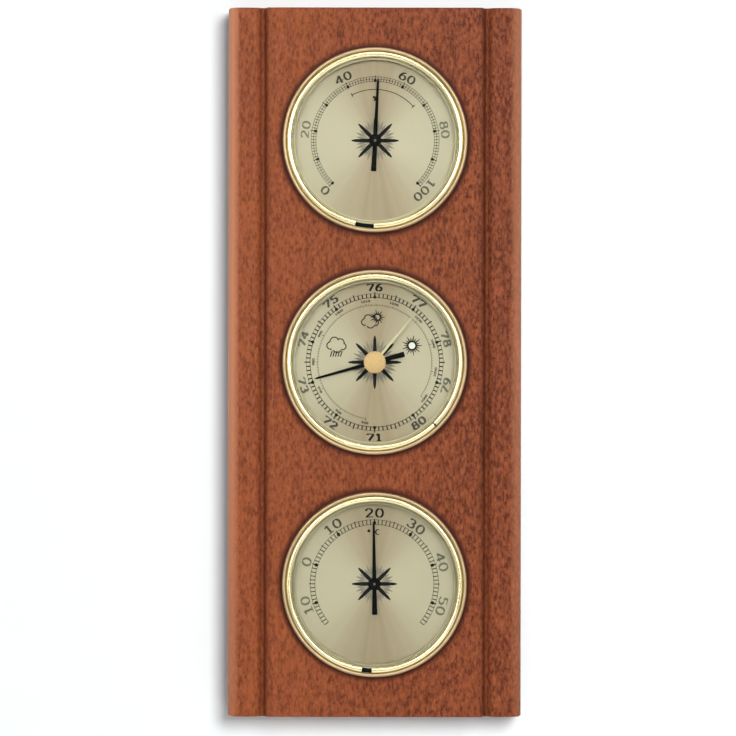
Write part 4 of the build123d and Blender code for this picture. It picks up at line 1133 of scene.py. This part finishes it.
signs, disc = Sheet("barometer"), Sheet("barometer")
rain_x, rain_y = on_circle(18.9, -69.0)
cloud(signs, rain_x, rain_y + 1.2, size=2.75)
for drop in range(5):
    top = (rain_x - 2.0 + drop * DROP_STEP, rain_y - 1.5)
    fall = [top, (top[0] + DROP_FALL[0], top[1] + DROP_FALL[1])]
    signs.stroke(fall, SIGN_LINE)
fair_x, fair_y = on_circle(19.6, -3.0)
cloud(signs, fair_x - 1.2, fair_y - 0.8, size=2.4)
sun(signs, fair_x + 2.2, fair_y + 1.2, ring=1.3, reach=3.6, rays=14)
sun_x, sun_y = on_circle(18.8, 65.8)
sun(signs, sun_x, sun_y, ring=SUN_RADIUS, reach=4.8, rays=18)
signs.piece("weather_signs", black_ink)
disc.face(arc(sun_x, sun_y, SUN_RADIUS, SUN_RADIUS, 0, 345, steps=23))
disc.piece("sun_disc", white_ink, FAN_LIFT)
print("three weather signs")

# %% [markdown]
# The hands are thin steel in black lacquer, with a hub in the middle. Their CAD shapes are right as they
# are, so they only need a finish: a dark base under a clear coat, with a faint unevenness in the gloss.

# %% Hands
LACQUER = (0.002, 0.0018, 0.0018)
WORN_LACQUER = (0.006, 0.0055, 0.005)


def lacquer_finish():
    clear = {"Specular_IOR_Level": 0.03, "Coat_Weight": 0.02, "Coat_Roughness": 0.2}
    material, tree, shader = new_finish("black_lacquer", **clear)
    grain = stretched_noise(tree, object_place(tree), EVEN_GRAIN, 1500.0, 2.0)
    coat(tree, shader, blend(tree, grain, LACQUER, WORN_LACQUER), spread(tree, grain, 0.28, 0.4))
    return material


dress(lacquer_finish(), *[name + "_pointer" for name in INSTRUMENTS])
print("hands dressed")

# %% [markdown]
# The knob on the barometer's glass turns a slender brass hand behind it, which remembers the last reading.
# The knob is matt from handling and the hand pale.

# %% Set hand and knob
knob_brass = brass_finish("knob_brass", (0.50, 0.36, 0.165), 0.55, 0.0005 * mm, False)
pale_brass = brass_finish("pale_brass", (0.445, 0.402, 0.257), 0.5, 0.0005 * mm, False)
dress(knob_brass, "set_knob")
dress(pale_brass, "set_hand")
print("knob and set hand dressed")

# %% [markdown]
# The glasses are flat window glass. A refracting shader would keep the lamps' light from the dials, because
# a path tracer can't aim through a refraction, so shadow rays meet a clear shader instead.

# %% Glass
GLASS_TINT = (0.97, 0.99, 0.98, 1.0)


def glass_finish():
    flawless = {"Base_Color": GLASS_TINT, "Roughness": 0.0, "IOR": 1.45, "Transmission_Weight": 1.0}
    material, tree, shader = new_finish("clear_glass", **flawless)
    shadow = put(tree, "ShaderNodeLightPath").outputs["Is Shadow Ray"]
    clear_where(tree, shadow, shader, GLASS_TINT)
    return material


dress(glass_finish(), *[name + "_glass" for name in INSTRUMENTS])
print("glasses dressed")

# %% [markdown]
# Behind the dials and on the back the metals are plainer: zinc-plated sheet for the cases and the hanger,
# turned steel and satin brass in the movements, and springy strip for the coils. One function makes such a
# metal with a soft mottle; only colour, gloss and grain differ. Two arbors, whose ends show in their hubs,
# are blued, and the gaskets are black rubber, which is the same finish with no metal in it.

# %% Metals of the back and the movements
MOTTLE_SCALE = 160.0
MOTTLE_LIFT = 1.18
FINE_SCALE = 2200.0
FINE_DEPTH = 0.004 * mm


def sheet_metal(name, colour, roughness, grain=EVEN_GRAIN, metallic=1.0):
    material, tree, shader = new_finish(name, Metallic=metallic, Specular_IOR_Level=0.15)
    place = object_place(tree)
    mottle = stretched_noise(tree, place, EVEN_GRAIN, MOTTLE_SCALE, 4.0)
    fine = stretched_noise(tree, place, grain, FINE_SCALE, 2.0)
    pale = tuple(min(value * MOTTLE_LIFT, 1.0) for value in colour)
    mixed = blend(tree, spread(tree, mottle), colour, pale)
    coat(tree, shader, mixed, spread(tree, fine, roughness * 0.85, roughness * 1.15))
    raise_surface(tree, shader, fine, FINE_DEPTH)
    return material


by_slot = {
    "hanger_steel": sheet_metal("zinc_plate", (0.55, 0.56, 0.58), 0.34, (0.1, 1.0, 1.0)),
    "case_steel": sheet_metal("drawn_sheet", (0.58, 0.55, 0.47), 0.36),
    "spacer_gold": sheet_metal("satin_gold", (0.36, 0.32, 0.21), 0.45, (1.0, 1.0, 0.2)),
    "coil_strip": sheet_metal("spring_strip", (0.50, 0.46, 0.38), 0.35, (1.0, 0.1, 1.0)),
    "movement_steel": sheet_metal("turned_steel", (0.55, 0.55, 0.57), 0.28),
    "capsule_metal": sheet_metal("nickel_silver", (0.62, 0.58, 0.48), 0.32),
    "movement_brass": sheet_metal("satin_brass", (0.74, 0.56, 0.28), 0.36),
    "gasket_black": sheet_metal("black_rubber", (0.006, 0.006, 0.006), 0.7, metallic=0.0),
}
for part in frame["record"]["subparts"]:
    if part["material_slot"] in by_slot:
        dress(by_slot[part["material_slot"]], part["node"])
dark_steel = sheet_metal("blued_steel", (0.085, 0.085, 0.09), 0.5)
dress(dark_steel, "hygrometer_arbor", "thermometer_arbor")
print(len(by_slot), "plain finishes on the hidden pieces")

# %% [markdown]
# The barometer's capsule is thin corrugated sheet with a vacuum inside, and it gives when the air presses
# harder. A merged, smooth-shaded copy of its mesh, with a mesh of its own, takes its place.

# %% Merged capsule
CAPSULE_WELD = 0.001 * mm
shape = bmesh.new()
shape.from_mesh(nodes["aneroid_capsule"].data)
bmesh.ops.remove_doubles(shape, verts=shape.verts, dist=CAPSULE_WELD)
for face in shape.faces:
    face.smooth = True
capsule = smooth_piece("springy_capsule", shape, by_slot["capsule_metal"])
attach(capsule, "station")
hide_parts("aneroid_capsule")
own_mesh(capsule)

# %% [markdown]
# Last, the visual model's box is printed.

# %% Print the visual box
low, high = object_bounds()
print("visual box", [round(value / mm, 2) for value in (high - low)], "mm")
